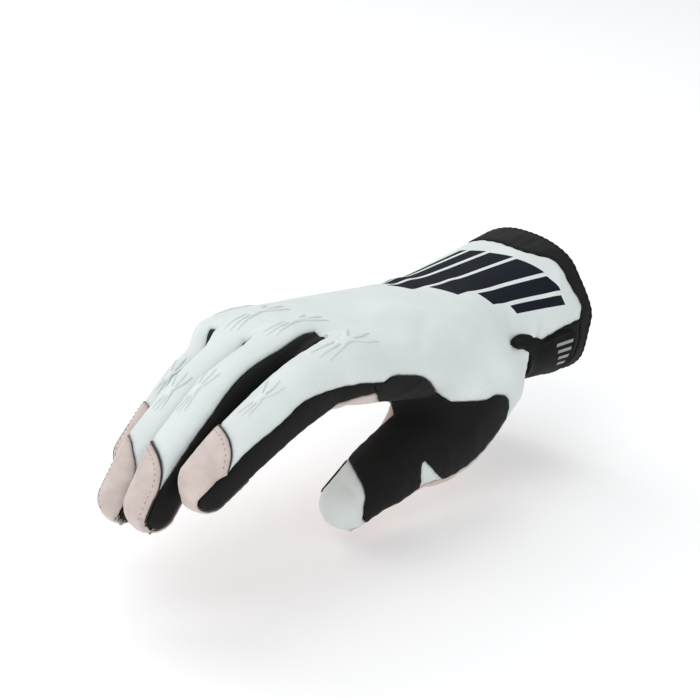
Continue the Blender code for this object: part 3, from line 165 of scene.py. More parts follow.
class Limb:
    """A bent tube with a superellipse section and a rounded end, the same as in the part's source.

    Section: (|x| / half width)^n + (|y| / depth)^n = 1, with one depth to the back and another to the palm.
    """

    def __init__(
        self,
        base: Array,
        side: Array,
        back: Array,
        start: float,
        length: float,
        bends: Sequence[Bend],
        rows: Sequence[Sequence[float]],
        cap: float,
        power: float,
        open_start: bool = False,
    ) -> None:
        self.cap = cap
        self.power = power
        self.length = length
        self.open_start = open_start
        side = unit(side)
        back = unit(back - side * (back @ side))
        ahead = np.cross(side, back)
        count = max(8, int((length - start) / 2.0))
        self.s = np.linspace(start, length, count)
        turn = np.zeros(count)
        for bend in bends:
            share = ease((self.s - bend.at) / bend.span + 0.5) - ease(np.array(-bend.at / bend.span + 0.5))
            turn += np.radians(bend.degrees) * share
        self.ahead = np.cos(turn)[:, None] * ahead - np.sin(turn)[:, None] * back
        self.back = np.cos(turn)[:, None] * back + np.sin(turn)[:, None] * ahead
        self.side = np.repeat(side[None], count, 0)
        steps = np.diff(self.s)[:, None] * (self.ahead[1:] + self.ahead[:-1]) / 2
        line = np.vstack([np.zeros(3), np.cumsum(steps, 0)])
        zero = np.array([np.interp(0, self.s, line[:, k]) for k in range(3)])
        self.line = line - zero + base
        table = np.array(rows, float)
        self.sizes = np.stack([np.interp(self.s, table[:, 0], table[:, k]) for k in (1, 2, 3)], 1)
        for _ in range(4):
            inner = self.sizes[:-2] + 2 * self.sizes[1:-1] + self.sizes[2:]
            self.sizes[1:-1] = inner / 4

    def frame(self, s: Array) -> tuple[Array, Array, Array, Array, Array]:
        """Centre, side, back, ahead and half sizes at station s, straight on past both ends."""
        s = np.asarray(s, float)
        inner = np.clip(s, self.s[0], self.s[-1])

        def read(table: Array) -> Array:
            return np.stack([np.interp(inner, self.s, table[:, k]) for k in range(3)], -1)

        ahead = read(self.ahead)
        return read(self.line) + ahead * (s - inner)[..., None], read(self.side), read(self.back), ahead, read(self.sizes)

    def place(self, s: Array, angle: Array) -> Array:
        """The point at station s and angle degrees around, 0 at the back and positive to the thumb."""
        centre, side, back, _, sizes = self.frame(s)
        a = np.radians(np.asarray(angle, float))
        x, y = np.sin(a), np.cos(a)
        depth = np.where(y > 0, sizes[..., 1], sizes[..., 2])
        share = (np.abs(x) ** self.power + np.abs(y) ** self.power) ** (-1 / self.power)
        return centre + share[..., None] * (side * (sizes[..., 0] * x)[..., None] + back * (depth * y)[..., None])

    def chart(self, points: Array) -> tuple[Array, Array]:
        """Station and angle of each point: the inverse of place."""
        far = (points**2).sum(-1)[:, None] - 2 * points @ self.line.T + (self.line**2).sum(-1)
        s = self.s[far.argmin(-1)]
        for _ in range(3):
            centre, _, _, ahead, _ = self.frame(s)
            s = s + ((points - centre) * ahead).sum(-1)
        centre, side, back, _, sizes = self.frame(s)
        away = points - centre
        x = (away * side).sum(-1) / sizes[..., 0]
        y = (away * back).sum(-1)
        return s, np.degrees(np.arctan2(x, y / np.where(y > 0, sizes[..., 1], sizes[..., 2])))

    def distance(self, points: Array) -> tuple[Array, Array]:
        """A signed distance from the limb's surface, and the way out."""
        far = (self.line**2).sum(-1) - 2 * points @ self.line.T
        near = np.clip(far.argmin(1), 1, len(self.line) - 1)

        def on_span(last: Array) -> tuple[Array, Array]:
            span = self.line[last] - self.line[last - 1]
            t = ((points - self.line[last - 1]) * span).sum(1) / (span**2).sum(1)
            t = np.clip(t, 0, 1)
            gap = points - self.line[last - 1] - t[:, None] * span
            return t, (gap**2).sum(1)

        after = np.minimum(near + 1, len(self.line) - 1)
        t_near, gap_near = on_span(near)
        t_after, gap_after = on_span(after)
        later = gap_after < gap_near
        last = np.where(later, after, near)
        t = np.where(later, t_after, t_near)

        def read(table: Array) -> Array:
            return table[last - 1] * (1 - t[:, None]) + table[last] * t[:, None]

        side, back, ahead, sizes = read(self.side), read(self.back), read(self.ahead), read(self.sizes)
        away = points - read(self.line)
        x, y, z = ((away * way).sum(1) for way in (side, back, ahead))
        past = np.maximum(z, 0) * (last == len(self.line) - 1)
        if not self.open_start:
            past = past + np.minimum(z, 0) * (last == 1)
        n = self.power
        width = sizes[:, 0]
        depth = np.where(y > 0, sizes[:, 1], sizes[:, 2])
        flat = (np.abs(x / width) ** n + np.abs(y / depth) ** n) ** (1 / n) + 1e-9
        share = np.sqrt(flat**2 + (past / self.cap) ** 2)
        reach = np.sqrt(x * x + y * y + past * past)
        gx = np.sign(x) * np.abs(x / width) ** (n - 1) / width * flat ** (2 - n)
        gy = np.sign(y) * np.abs(y / depth) ** (n - 1) / depth * flat ** (2 - n)
        out = side * gx[:, None] + back * gy[:, None] + ahead * (past / self.cap**2)[:, None]
        return reach - reach / share, unit(out)


def blended(first: tuple[Array, Array], second: tuple[Array, Array], width: float) -> tuple[Array, Array]:
    """The smooth minimum of two (distance, way out) pairs."""
    h = np.clip(0.5 + 0.5 * (second[0] - first[0]) / width, 0, 1)
    value = second[0] * (1 - h) + first[0] * h - width * h * (1 - h)
    return value, unit(second[1] * (1 - h)[:, None] + first[1] * h[:, None])


@dataclass
class HandForm:
    """The form that the glove lies on: the hand, four fingers and the thumb, flowing into each other."""

    blend_fingers: float = 1.2
    blend_hand: float = 9.0
    blend_thumb: float = 14.0
    fingertip_round: float = 8.5
    thumbtip_round: float = 9.5
    thumb_base: tuple[float, float, float] = (60.4, 24.4, 13.9)
    thumb_turns: tuple[float, float, float] = (-12.1, -36.7, -15.3)
    limbs: dict[str, Limb] = field(default_factory=dict)

    def __post_init__(self) -> None:
        side, back = np.array([0.0, -1.0, 0.0]), np.array([0.0, 0.0, 1.0])
        hand = Limb(np.zeros(3), side, back, HAND_START, HAND_END, (Bend(WRIST, -9.4, 30),), HAND_ROWS, 14.0, 2.5, True)
        self.limbs["hand"] = hand
        centre, side, back, ahead, _ = hand.frame(np.array(KNUCKLES))
        for f in FINGERS:
            base = centre + ahead * f.ahead - side * f.outward + back * f.up
            forward = turned(ahead, back, -f.yaw)
            across = turned(turned(side, back, -f.yaw), forward, f.roll)
            upward = turned(back, forward, f.roll)
            self.limbs[f.name] = Limb(
                base, across, upward, -30.0, f.length, self.bends(f), self.rows(f), self.fingertip_round, 2.3
            )
        at, aside, below = self.thumb_base
        centre, side, back, ahead, _ = hand.frame(np.array(at))
        base = centre + side * aside - back * below
        a, e = np.radians(self.thumb_turns[:2])
        forward = (ahead * np.cos(a) + side * np.sin(a)) * np.cos(e) + back * np.sin(e)
        upward = turned(np.cross(forward, unit(np.cross(back, forward))), forward, self.thumb_turns[2])
        across = np.cross(upward, forward)
        bends = (Bend(34, -5.8, 24), Bend(66, 6.0, 18))
        self.limbs["thumb"] = Limb(
            base, across, upward, -6.0, THUMB_LENGTH, bends, THUMB_ROWS, self.thumbtip_round, 2.3
        )

    @staticmethod
    def bends(f: Finger) -> tuple[Bend, ...]:
        """The three joints of a finger."""
        return (
            Bend(4, f.root_bend, 26),
            Bend(0.47 * f.length, f.middle_bend, 18),
            Bend(0.78 * f.length, f.end_bend, 14),
        )

    @staticmethod
    def rows(f: Finger) -> tuple[tuple[float, ...], ...]:
        """Station, half width, depth to the back and depth to the palm along a finger."""
        near, far = 0.75 * f.root_depth + 0.25 * f.tip_depth, 0.45 * f.root_depth + 0.55 * f.tip_depth
        return (
            (-30, 0.75 * f.root_width, 0.7 * f.root_depth, 0.7 * f.root_depth),
            (-8, 0.95 * f.root_width, 0.98 * f.root_depth, 0.98 * f.root_depth),
            (4, f.root_width, f.root_depth, f.root_depth),
            (0.3 * f.length, 0.7 * f.root_width + 0.3 * f.tip_width, near + 1.1 * f.crown, near),
            (0.5 * f.length, 0.4 * f.root_width + 0.6 * f.tip_width + 0.3, far + f.crown, far),
            (0.85 * f.length, f.tip_width, 1.05 * f.tip_depth + 1.4 * f.crown, 1.05 * f.tip_depth),
            (f.length, 0.93 * f.tip_width, f.tip_depth + 1.1 * f.crown, f.tip_depth),
        )

    def surface(self, points: Array) -> tuple[Array, Array]:
        """Signed distance of points (n, 3) from the form, and the way out."""
        found = self.limbs["index"].distance(points)
        for name in ("middle", "ring", "little"):
            found = blended(found, self.limbs[name].distance(points), self.blend_fingers)
        found = blended(found, self.limbs["hand"].distance(points), self.blend_hand)
        return blended(found, self.limbs["thumb"].distance(points), self.blend_thumb)

    def cloth_chart(self, points: Array) -> Array:
        """A smooth flat map of the cloth: along the limbs and around them, in units of 10 mm.

        Each limb's chart is its station and its angle times a radius, moved so that a finger's chart meets the hand's
        at the knuckle. The charts are averaged with weights exp(-distance / 2.5 mm).
        """
        hand = self.limbs["hand"]
        total, weight = np.zeros((len(points), 2)), np.zeros(len(points))
        for name, limb in self.limbs.items():
            radius = HAND_ARC if name == "hand" else FINGER_ARC
            s, angle = limb.chart(points)
            chart = np.stack([s, np.radians(angle) * radius], 1)
            if name != "hand":
                knuckle = limb.place(np.array([0.0]), np.array([0.0]))
                at, around = hand.chart(knuckle)
                chart += np.array([at[0], np.radians(around[0]) * HAND_ARC])
            value, _ = limb.distance(points)
            share = np.exp(-np.clip(value, 0, 60) / 2.5)
            total += share[:, None] * chart
            weight += share
        return total / weight[:, None] / 10

    def settle(self, points: Array, level: float = 0.0, rounds: int = 3) -> Array:
        """The points moved onto the form's surface, or to this level over it."""
        points = np.array(points, float)
        for _ in range(rounds):
            value, out = self.surface(points)
            points -= 0.95 * np.clip(value - level, -4, 4)[:, None] * out
        return points


FORM = HandForm()


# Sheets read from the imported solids


@dataclass
class Sheet:
    """A triangulated sheet with its border loops.

    points (n, 3) in millimetres, faces (m, 3) turned outwards, corner (n,) true where the border turns sharply.
    """

    points: Array
    faces: Array
    corner: Array

    @classmethod
    def outer_of(cls, node: str, middle_level: float, sharp: float = 42.0) -> "Sheet":
        """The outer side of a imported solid: the triangles that face out of the form and lie over the wall's middle.

        Args:
            node: the CAD node's name.
            middle_level: height of the wall's middle over the form.
            sharp: a border that turns by more degrees than this has a corner there.
        """
        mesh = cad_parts[node].data
        mesh.calc_loop_triangles()
        points = np.empty(len(mesh.vertices) * 3, np.float32)
        mesh.vertices.foreach_get("co", points)
        faces = np.empty(len(mesh.loop_triangles) * 3, np.int32)
        mesh.loop_triangles.foreach_get("vertices", faces)
        points = points.reshape(-1, 3).astype(float) / MM
        _, first, index = np.unique(np.round(points, 3), axis=0, return_index=True, return_inverse=True)
        points, faces = points[first], index.reshape(-1)[faces.reshape(-1, 3)]
        a, b, c = (points[faces[:, k]] for k in range(3))
        level, out = FORM.surface((a + b + c) / 3)
        facing = (unit(np.cross(b - a, c - a)) * out).sum(1)
        corner_level, _ = FORM.surface(points)
        above = (corner_level > middle_level)[faces].all(1)
        faces = faces[above | ((facing > 0.3) & (level > middle_level))]
        used, index = np.unique(faces, return_inverse=True)
        sheet = cls(points[used], index.reshape(-1, 3), np.zeros(len(used), bool))
        ends, before, after = sheet.border()
        first_way, last_way = sheet.points[ends] - sheet.points[before], sheet.points[after] - sheet.points[ends]
        turn = (unit(first_way) * unit(last_way)).sum(1)
        sheet.corner[ends] = turn < math.cos(math.radians(sharp))
        return sheet

    def border(self) -> tuple[Array, Array, Array]:
        """Each border vertex with the border vertices before and after it."""
        ends = np.concatenate([self.faces[:, [0, 1]], self.faces[:, [1, 2]], self.faces[:, [2, 0]]])
        _, index, count = np.unique(np.sort(ends, 1), axis=0, return_inverse=True, return_counts=True)
        ends = ends[count[index.reshape(-1)] == 1]
        after = np.full(len(self.points), -1)
        before = np.full(len(self.points), -1)
        after[ends[:, 0]] = ends[:, 1]
        before[ends[:, 1]] = ends[:, 0]
        on = np.flatnonzero((after >= 0) & (before >= 0))
        return on, before[on], after[on]

    def loops(self) -> list[Array]:
        """The border as closed runs of vertex numbers, the longest first, each begun at a corner if it has one."""
        on, _, after = self.border()
        follow = dict(zip(on.tolist(), after.tolist()))
        found = []
        while follow:
            here = next((v for v in follow if self.corner[v]), next(iter(follow)))
            run = [here]
            here = follow.pop(here)
            while here in follow:
                run.append(here)
                here = follow.pop(here)
            found.append(np.array(run))
        return sorted(found, key=lambda run: -len(run))

    def runs(self) -> list[Array]:
        """The border cut at its corners. Each run holds both of its ends."""
        found = []
        for loop in self.loops():
            cuts = np.flatnonzero(self.corner[loop])
            closed = np.append(loop, loop[0])
            if len(cuts) == 0:
                found.append(closed)
                continue
            marks = [*cuts.tolist(), len(loop)]
            found += [closed[a : b + 1] for a, b in zip(marks[:-1], marks[1:])]
        return found

    def split(self, chosen: Optional[Array] = None) -> "Sheet":
        """The chosen triangles as four, and their neighbours as two or three, so that the sheet stays whole.

        A new point halves its edge. On the border it is (9 (b + c) - a - d) / 16 of its four neighbours in a row.

        Args:
            chosen: true for each triangle to split; all of them where it is left out.
        """
        edges = np.sort(np.concatenate([self.faces[:, [0, 1]], self.faces[:, [1, 2]], self.faces[:, [2, 0]]]), 1)
        edges, index, count = np.unique(edges, axis=0, return_inverse=True, return_counts=True)
        index = index.reshape(3, -1).T
        marked = np.ones(len(edges), bool)
        if chosen is not None:
            marked[:] = False
            marked[index[chosen]] = True
        middle = self.points[edges].mean(1)
        on, before, after = self.border()
        back_of = np.full(len(self.points), -1)
        next_of = np.full(len(self.points), -1)
        back_of[on] = before
        next_of[on] = after
        rim = np.flatnonzero(count == 1)
        first, last = edges[rim, 0], edges[rim, 1]
        swap = next_of[first] != last
        first, last = np.where(swap, last, first), np.where(swap, first, last)
        p, q = self.points[first], self.points[last]
        ahead, behind = next_of[last], back_of[first]
        open_end = (self.corner[last] | (ahead < 0))[:, None]
        open_start = (self.corner[first] | (behind < 0))[:, None]
        next_point = np.where(open_end, 2 * q - p, self.points[ahead])
        last_point = np.where(open_start, 2 * p - q, self.points[behind])
        middle[rim] = (9 * (p + q) - next_point - last_point) / 16
        number = np.full(len(edges), -1)
        number[marked] = np.arange(marked.sum()) + len(self.points)
        faces = self.cut_faces(number[index])
        corner = np.concatenate([self.corner, np.zeros(int(marked.sum()), bool)])
        return Sheet(np.vstack([self.points, middle[marked]]), faces, corner)

    def cut_faces(self, cut: Array) -> Array:
        """The triangles cut at their sides' new points.

        Args:
            cut: for each triangle, the new point's number on its sides ab, bc and ca, or -1 where there is none.
        """
        have = cut >= 0
        count = have.sum(1)
        turn = np.where(count == 2, ((~have).argmax(1) + 1) % 3, np.where(count == 1, have.argmax(1), 0))
        order = (np.arange(3) + turn[:, None]) % 3
        a, b, c = np.take_along_axis(self.faces, order, 1).T
        ab, bc, ca = np.take_along_axis(cut, order, 1).T
        made = [self.faces[count == 0]]
        for many, triangles in (
            (1, ((a, ab, c), (ab, b, c))),
            (2, ((ab, b, bc), (a, ab, bc), (a, bc, c))),
            (3, ((a, ab, ca), (ab, b, bc), (ca, bc, c), (ab, bc, ca))),
        ):
            made += [np.stack(t, 1)[count == many] for t in triangles]
        return np.concatenate(made)

    def relaxed(self, rounds: int = 3) -> "Sheet":
        """The inner points moved halfway to the mean of their neighbours."""
        points = self.points.copy()
        on, _, _ = self.border()
        free = np.ones(len(points), bool)
        free[on] = False
        ends = np.concatenate([self.faces[:, [0, 1]], self.faces[:, [1, 2]], self.faces[:, [2, 0]]])
        ends = np.concatenate([ends, ends[:, ::-1]])
        count = np.bincount(ends[:, 0], minlength=len(points))[:, None]
        for _ in range(rounds):
            total = np.stack([np.bincount(ends[:, 0], points[ends[:, 1], k], len(points)) for k in range(3)], 1)
            points[free] = 0.5 * points[free] + 0.5 * (total / np.maximum(count, 1))[free]
        return Sheet(points, self.faces, self.corner)

    def refined(self, times: int, fine_edge: float = 0.0) -> "Sheet":
        """The sheet split this many times and settled on the form.

        Args:
            times: how often it is split all over.
            fine_edge: once more within this distance of the border, where it isn't 0.
        """
        sheet = Sheet(FORM.settle(self.points, rounds=7), self.faces, self.corner)
        for _ in range(times):
            sheet = sheet.split().relaxed()
            sheet = Sheet(FORM.settle(sheet.points, rounds=2), sheet.faces, sheet.corner)
        if fine_edge > 0:
            distance, _ = sheet.edge_distance()
            sheet = sheet.split((distance < fine_edge)[sheet.faces].all(1))
            sheet = Sheet(FORM.settle(sheet.points, rounds=2), sheet.faces, sheet.corner)
        return sheet

    def inward(self, out: Array) -> tuple[Array, Array]:
        """The border vertices, and at each one the way into the sheet: out of the form crossed with the border."""
        on, before, after = self.border()
        tangent = unit(self.points[after] - self.points[before])
        return on, unit(np.cross(out[on], tangent))

    def widened(self, by: float, out: Array) -> "Sheet":
        """The sheet with its border moved out by this much."""
        on, way = self.inward(out)
        points = self.points.copy()
        points[on] -= by * way
        return Sheet(points, self.faces, self.corner)

    def edge_distance(self) -> tuple[Array, Array]:
        """Each point's distance from the border, and the arc length along the border where it is nearest."""
        loops = self.loops()
        rim = np.concatenate(loops)
        arcs = []
        for loop in loops:
            steps = np.linalg.norm(np.diff(self.points[loop], axis=0), axis=1)
            arcs.append(np.append(0, np.cumsum(steps)))
        arc = np.concatenate(arcs)
        targets = self.points[rim]
        square = (targets**2).sum(1)
        distance = np.empty(len(self.points))
        where = np.empty(len(self.points))
        for start in range(0, len(self.points), 8192):
            part = self.points[start : start + 8192]
            far = square - 2 * part @ targets.T
            near = far.argmin(1)
            distance[start : start + 8192] = np.linalg.norm(part - targets[near], axis=1)
            where[start : start + 8192] = arc[near]
        return distance, where

    def area(self) -> float:
        """The sheet's area in square centimetres."""
        a, b, c = (self.points[self.faces[:, k]] for k in range(3))
        return float(np.linalg.norm(np.cross(b - a, c - a), axis=1).sum() / 200)


# Relief over the form


@dataclass(frozen=True)
class Fold:
    """A soft ridge or, with a negative height, a crease in the cloth.

    Its height is height * exp(-(u / width)^2) * exp(-(v / length)^4), with u across it and v along it in the plane
    that touches the form at its place. turn is the angle from the limb's length, in degrees.
    """

    limb: str
    at: float
    around: float
    turn: float
    length: float
    width: float
    height: float
    bow: float = 0.0

    def level(self, points: Array) -> Array:
        """The fold's height at each point."""
        limb = FORM.limbs[self.limb]
        at = np.array([self.at])
        centre = FORM.settle(limb.place(at, np.array([self.around])), rounds=7)
        _, out = FORM.surface(centre)
        _, _, _, ahead, _ = limb.frame(at)
        normal = out[0]
        along = unit(ahead[0] - normal * (ahead[0] @ normal))
        along = turned(along, normal, self.turn)
        across = np.cross(normal, along)
        away = points - centre[0]
        v = away @ along
        u = away @ across - self.bow * (v / self.length) ** 2
        near = np.exp(-((away @ normal / 12.0) ** 4))
        return self.height * np.exp(-((u / self.width) ** 2)) * np.exp(-((v / self.length) ** 4)) * near


class Edge(Enum):
    """How a panel's border is finished."""

    ROLLED = "rolled into the seam"
    RAW = "cut and lying on top"
    CROWNED = "moulded with a round shoulder"
    RIDGED = "moulded with a raised rim"


@dataclass(frozen=True)
class EdgeForm:
    """The sizes of a border: how deep and wide it rolls, its height over the form, and its puckers."""

    kind: Edge
    base: float = 0.0
    depth: float = 0.6
    width: float = 2.2
    pucker: float = 0.10
    pucker_length: float = 5.5
    widen: float = 0.3

    def level(self, distance: Array, arc: Array) -> Array:
        """Height over the form from the distance to the border and the arc length along it.

        Rolled: base - depth (1 - d / width)^2. Raw: base with a small round shoulder. Crowned: base + depth times a
        quarter circle over the width. Ridged: crowned, with a round rim 0.55 of the depth over the field.
        """
        near = np.clip(1 - distance / self.width, 0, 1)
        wave = self.pucker * np.sin(2 * np.pi * arc / self.pucker_length) * np.exp(-distance / self.width)
        wave += 0.6 * self.pucker * np.sin(2 * np.pi * arc / (1.63 * self.pucker_length) + 1.3) * np.exp(-distance / 4)
        if self.kind is Edge.ROLLED:
            return self.base - self.depth * near**2 + wave
        if self.kind is Edge.RAW:
            return self.base - 0.25 * np.clip(1 - distance / 0.6, 0, 1) ** 2 + wave
        dome = np.sqrt(np.clip(1 - near**2, 0, 1))
        if self.kind is Edge.CROWNED:
            return self.base + self.depth * dome
        rim = np.exp(-(((distance - 1.25) / 0.75) ** 2))
        return self.base + self.depth * (0.55 * np.sqrt(np.clip(1 - np.clip(1 - distance / 0.9, 0, 1) ** 2, 0, 1)) + 0.5 * rim)


# Shader groups that several finishes share


def group(name: str, inputs: Sequence[tuple[str, str, float]], outputs: Sequence[tuple[str, str]]) -> bpy.types.NodeTree:
    """An empty shader group with named sockets.

    Args:
        name: the group's name.
        inputs: name, socket type and default of each input; a vector has no default.
        outputs: name and socket type of each output.
    """
    tree = bpy.data.node_groups.new(name, "ShaderNodeTree")
    for label, kind, default in inputs:
        socket = tree.interface.new_socket(label, in_out="INPUT", socket_type=kind)
        if kind == "NodeSocketFloat":
            socket.default_value = default
    for label, kind in outputs:
        tree.interface.new_socket(label, in_out="OUTPUT", socket_type=kind)
    return tree


class Nodes:
    """Short calls that add nodes to one tree and link them."""

    def __init__(self, tree: bpy.types.NodeTree) -> None:
        self.tree = tree

    def add(self, kind: str, **settings: object) -> bpy.types.Node:
        """A node of this kind with these settings."""
        node = self.tree.nodes.new(kind)
        for key, value in settings.items():
            setattr(node, key, value)
        return node

    def feed(self, socket: bpy.types.NodeSocket, value: object) -> None:
        """Links a socket's output to this input, or sets its value."""
        if isinstance(value, bpy.types.NodeSocket):
            self.tree.links.new(value, socket)
        else:
            socket.default_value = value

    def math(self, operation: str, *values: object, clamp: bool = False) -> bpy.types.NodeSocket:
        """A math node's result."""
        node = self.add("ShaderNodeMath", operation=operation, use_clamp=clamp)
        for socket, value in zip(node.inputs, values):
            self.feed(socket, value)
        return node.outputs[0]

    def vector(self, operation: str, *values: object) -> bpy.types.Node:
        """A vector math node."""
        node = self.add("ShaderNodeVectorMath", operation=operation)
        for socket, value in zip(node.inputs, values):
            self.feed(socket, value)
        return node

    def noise(self, where: bpy.types.NodeSocket, scale: float, detail: float = 2.0) -> bpy.types.NodeSocket:
        """The factor of a noise texture; scale is in features for each metre."""
        node = self.add("ShaderNodeTexNoise")
        self.feed(node.inputs["Vector"], where)
        node.inputs["Scale"].default_value = scale
        node.inputs["Detail"].default_value = detail
        return node.outputs[0]

    def ramp(self, value: bpy.types.NodeSocket, low: float, high: float, bottom: float = 0.0, top: float = 1.0) -> bpy.types.NodeSocket:
        """The value stretched from low..high to bottom..top and held there."""
        node = self.add("ShaderNodeMapRange", clamp=True)
        self.feed(node.inputs["Value"], value)
        for label, number in (("From Min", low), ("From Max", high), ("To Min", bottom), ("To Max", top)):
            node.inputs[label].default_value = number
        return node.outputs[0]

    def mix(self, share: object, first: object, second: object, blend: str = "MIX") -> bpy.types.NodeSocket:
        """Two colours mixed by a share."""
        node = self.add("ShaderNodeMix", data_type="RGBA", blend_type=blend)
        self.feed(node.inputs[0], share)
        self.feed(node.inputs[6], first)
        self.feed(node.inputs[7], second)
        return node.outputs[2]

    def place(self, tree: bpy.types.NodeTree, **values: object) -> bpy.types.Node:
        """A shared group with these inputs; an underscore in a name stands for a space."""
        node = self.add("ShaderNodeGroup")
        node.node_tree = tree
        for key, value in values.items():
            self.feed(node.inputs[key.replace("_", " ")], value)
        return node


class SharedEffects:
    """The groups for a knit, a nap and the shade along seams. Each is built once."""

    def __init__(self) -> None:
        self.knit = self.knit_group()
        self.nap = self.nap_group()
        self.seam = self.seam_group()

    @staticmethod
    def knit_group() -> bpy.types.NodeTree:
        """A fine knit on the cloth's chart: wales cos v, and courses sin(u + 1.3 cos v) that bow between them. Height
        is the relief; Shade is 0 in the knit's low places and 1 on its tops, for painted shade in the valleys.
        """
        tree = group(
            "knit",
            (("Chart", "NodeSocketVector", 0), ("Pitch mm", "NodeSocketFloat", 1.0)),
            (("Height", "NodeSocketFloat"), ("Shade", "NodeSocketFloat")),
        )
        n = Nodes(tree)
        start, end = n.add("NodeGroupInput"), n.add("NodeGroupOutput")
        scaled = n.vector("SCALE", start.outputs["Chart"])
        n.feed(scaled.inputs["Scale"], n.math("DIVIDE", 20 * math.pi, start.outputs["Pitch mm"]))
        apart = n.add("ShaderNodeSeparateXYZ")
        n.feed(apart.inputs[0], scaled.outputs[0])
        wale = n.math("COSINE", apart.outputs["Y"])
        bowed = n.math("MULTIPLY_ADD", wale, 1.3, apart.outputs["X"])
        wave = n.math("ADD", n.math("MULTIPLY", wale, 0.5), n.math("MULTIPLY", n.math("SINE", bowed), 0.5))
        n.feed(end.inputs["Height"], n.ramp(wave, -1.0, 1.0))
        # Shade: where painted shade falls in the knit's valleys, 0 at the bottom and 1 from just over the middle up.
        n.feed(end.inputs["Shade"], n.ramp(wave, -1.0, 0.1))
        return tree

    @staticmethod
    def nap_group() -> bpy.types.NodeTree:
        """The nap of suede: fine fibres, and soft patches where it lies another way."""
        tree = group(
            "nap",
            (("Position", "NodeSocketVector", 0), ("Fibre", "NodeSocketFloat", 3200.0), ("Patch", "NodeSocketFloat", 140.0)),
            (("Height", "NodeSocketFloat"), ("Lie", "NodeSocketFloat"), ("Grain", "NodeSocketFloat")),
        )
        n = Nodes(tree)
        start, end = n.add("NodeGroupInput"), n.add("NodeGroupOutput")
        found = []
        for label, detail in (("Fibre", 3.0), ("Patch", 4.0)):
            node = n.add("ShaderNodeTexNoise")
            n.feed(node.inputs["Vector"], start.outputs["Position"])
            n.feed(node.inputs["Scale"], start.outputs[label])
            node.inputs["Detail"].default_value = detail
            found.append(node.outputs[0])
        fine, patch = found
        n.feed(end.inputs["Height"], n.math("MULTIPLY_ADD", patch, 0.35, fine))
        n.feed(end.inputs["Lie"], n.ramp(patch, 0.34, 0.66))
        n.feed(end.inputs["Grain"], n.ramp(fine, 0.3, 0.7))
        return tree

    @staticmethod
    def seam_group() -> bpy.types.NodeTree:
        """A colour darkened towards black where the attribute seam is near 1, broken up by noise: painted shade in the
        groove where the cloth rolls into the seam.
        """
        tree = group(
            "seam_shade",
            (("Position", "NodeSocketVector", 0), ("Color", "NodeSocketColor", 0), ("Amount", "NodeSocketFloat", 0.3), ("Seam", "NodeSocketFloat", 0.0)),
            (("Color", "NodeSocketColor"),),
        )
        n = Nodes(tree)
        start, end = n.add("NodeGroupInput"), n.add("NodeGroupOutput")
        rough = n.ramp(n.noise(start.outputs["Position"], 420.0), 0.3, 0.7, 0.55, 1.0)
        share = n.math("MULTIPLY", n.math("MULTIPLY", start.outputs["Seam"], start.outputs["Amount"]), rough, clamp=True)
        n.feed(end.inputs["Color"], n.mix(share, start.outputs["Color"], (0.02, 0.02, 0.02, 1)))
        return tree


EFFECTS = SharedEffects()


# Finishes

Colour = tuple[float, float, float]


def tinted(colour: Colour, share: float) -> tuple[float, float, float, float]:
    """The colour times a share, as the shader takes it."""
    return (*(min(1.0, c * share) for c in colour), 1.0)


@dataclass(frozen=True)
class PrintBar:
    """One bar of the printed pattern: its middle across the slant, half width, and where it starts and ends."""

    middle: float
    half: float
    start: float
    end: float


@dataclass(frozen=True)
class PrintPattern:
    """A plain pattern of slanted bars on the back of the hand, in the hand's chart.

    The chart's u is the station along the hand and v the arc around it, in units of 10 mm. A bar is where
    |w - middle| < half and start < t < end, with w across the slant and t along it plus a lean of the ends.
    """

    bars: tuple[PrintBar, ...]
    slant: float
    lean: float
    ink: Colour = (0.0095, 0.0115, 0.019)

    def mask(self, n: Nodes) -> bpy.types.NodeSocket:
        """1 on the bars and 0 elsewhere, with soft edges a tenth of a millimetre wide."""
        tree = self.bar_group()
        uv = n.add("ShaderNodeUVMap", uv_map="chart")
        apart = n.add("ShaderNodeSeparateXYZ")
        n.feed(apart.inputs[0], uv.outputs[0])
        c, s = math.cos(math.radians(self.slant)), math.sin(math.radians(self.slant))
        along = n.math("ADD", n.math("MULTIPLY", apart.outputs[0], c), n.math("MULTIPLY", apart.outputs[1], s))
        across = n.math("SUBTRACT", n.math("MULTIPLY", apart.outputs[1], c), n.math("MULTIPLY", apart.outputs[0], s))
        leaned = n.math("MULTIPLY_ADD", across, self.lean, along)
        found: Optional[bpy.types.NodeSocket] = None
        for bar in self.bars:
            node = n.place(tree, Along=leaned, Across=across, Middle=bar.middle, Half=bar.half, Start=bar.start, End=bar.end)
            found = node.outputs[0] if found is None else n.math("MAXIMUM", found, node.outputs[0])
        return found

    @staticmethod
    def bar_group() -> bpy.types.NodeTree:
        """The mask of one bar, built once."""
        labels = ("Along", "Across", "Middle", "Half", "Start", "End")
        if "print_bar" in bpy.data.node_groups:
            return bpy.data.node_groups["print_bar"]
        tree = group("print_bar", [(label, "NodeSocketFloat", 0.0) for label in labels], (("Mask", "NodeSocketFloat"),))
        n = Nodes(tree)
        start, end = n.add("NodeGroupInput"), n.add("NodeGroupOutput")
        off = n.math("ABSOLUTE", n.math("SUBTRACT", start.outputs["Across"], start.outputs["Middle"]))
        side = n.ramp(n.math("SUBTRACT", start.outputs["Half"], off), -0.006, 0.006)
        first = n.ramp(n.math("SUBTRACT", start.outputs["Along"], start.outputs["Start"]), -0.006, 0.006)
        last = n.ramp(n.math("SUBTRACT", start.outputs["End"], start.outputs["Along"]), -0.006, 0.006)
        n.feed(end.inputs["Mask"], n.math("MULTIPLY", side, n.math("MULTIPLY", first, last)))
        return tree


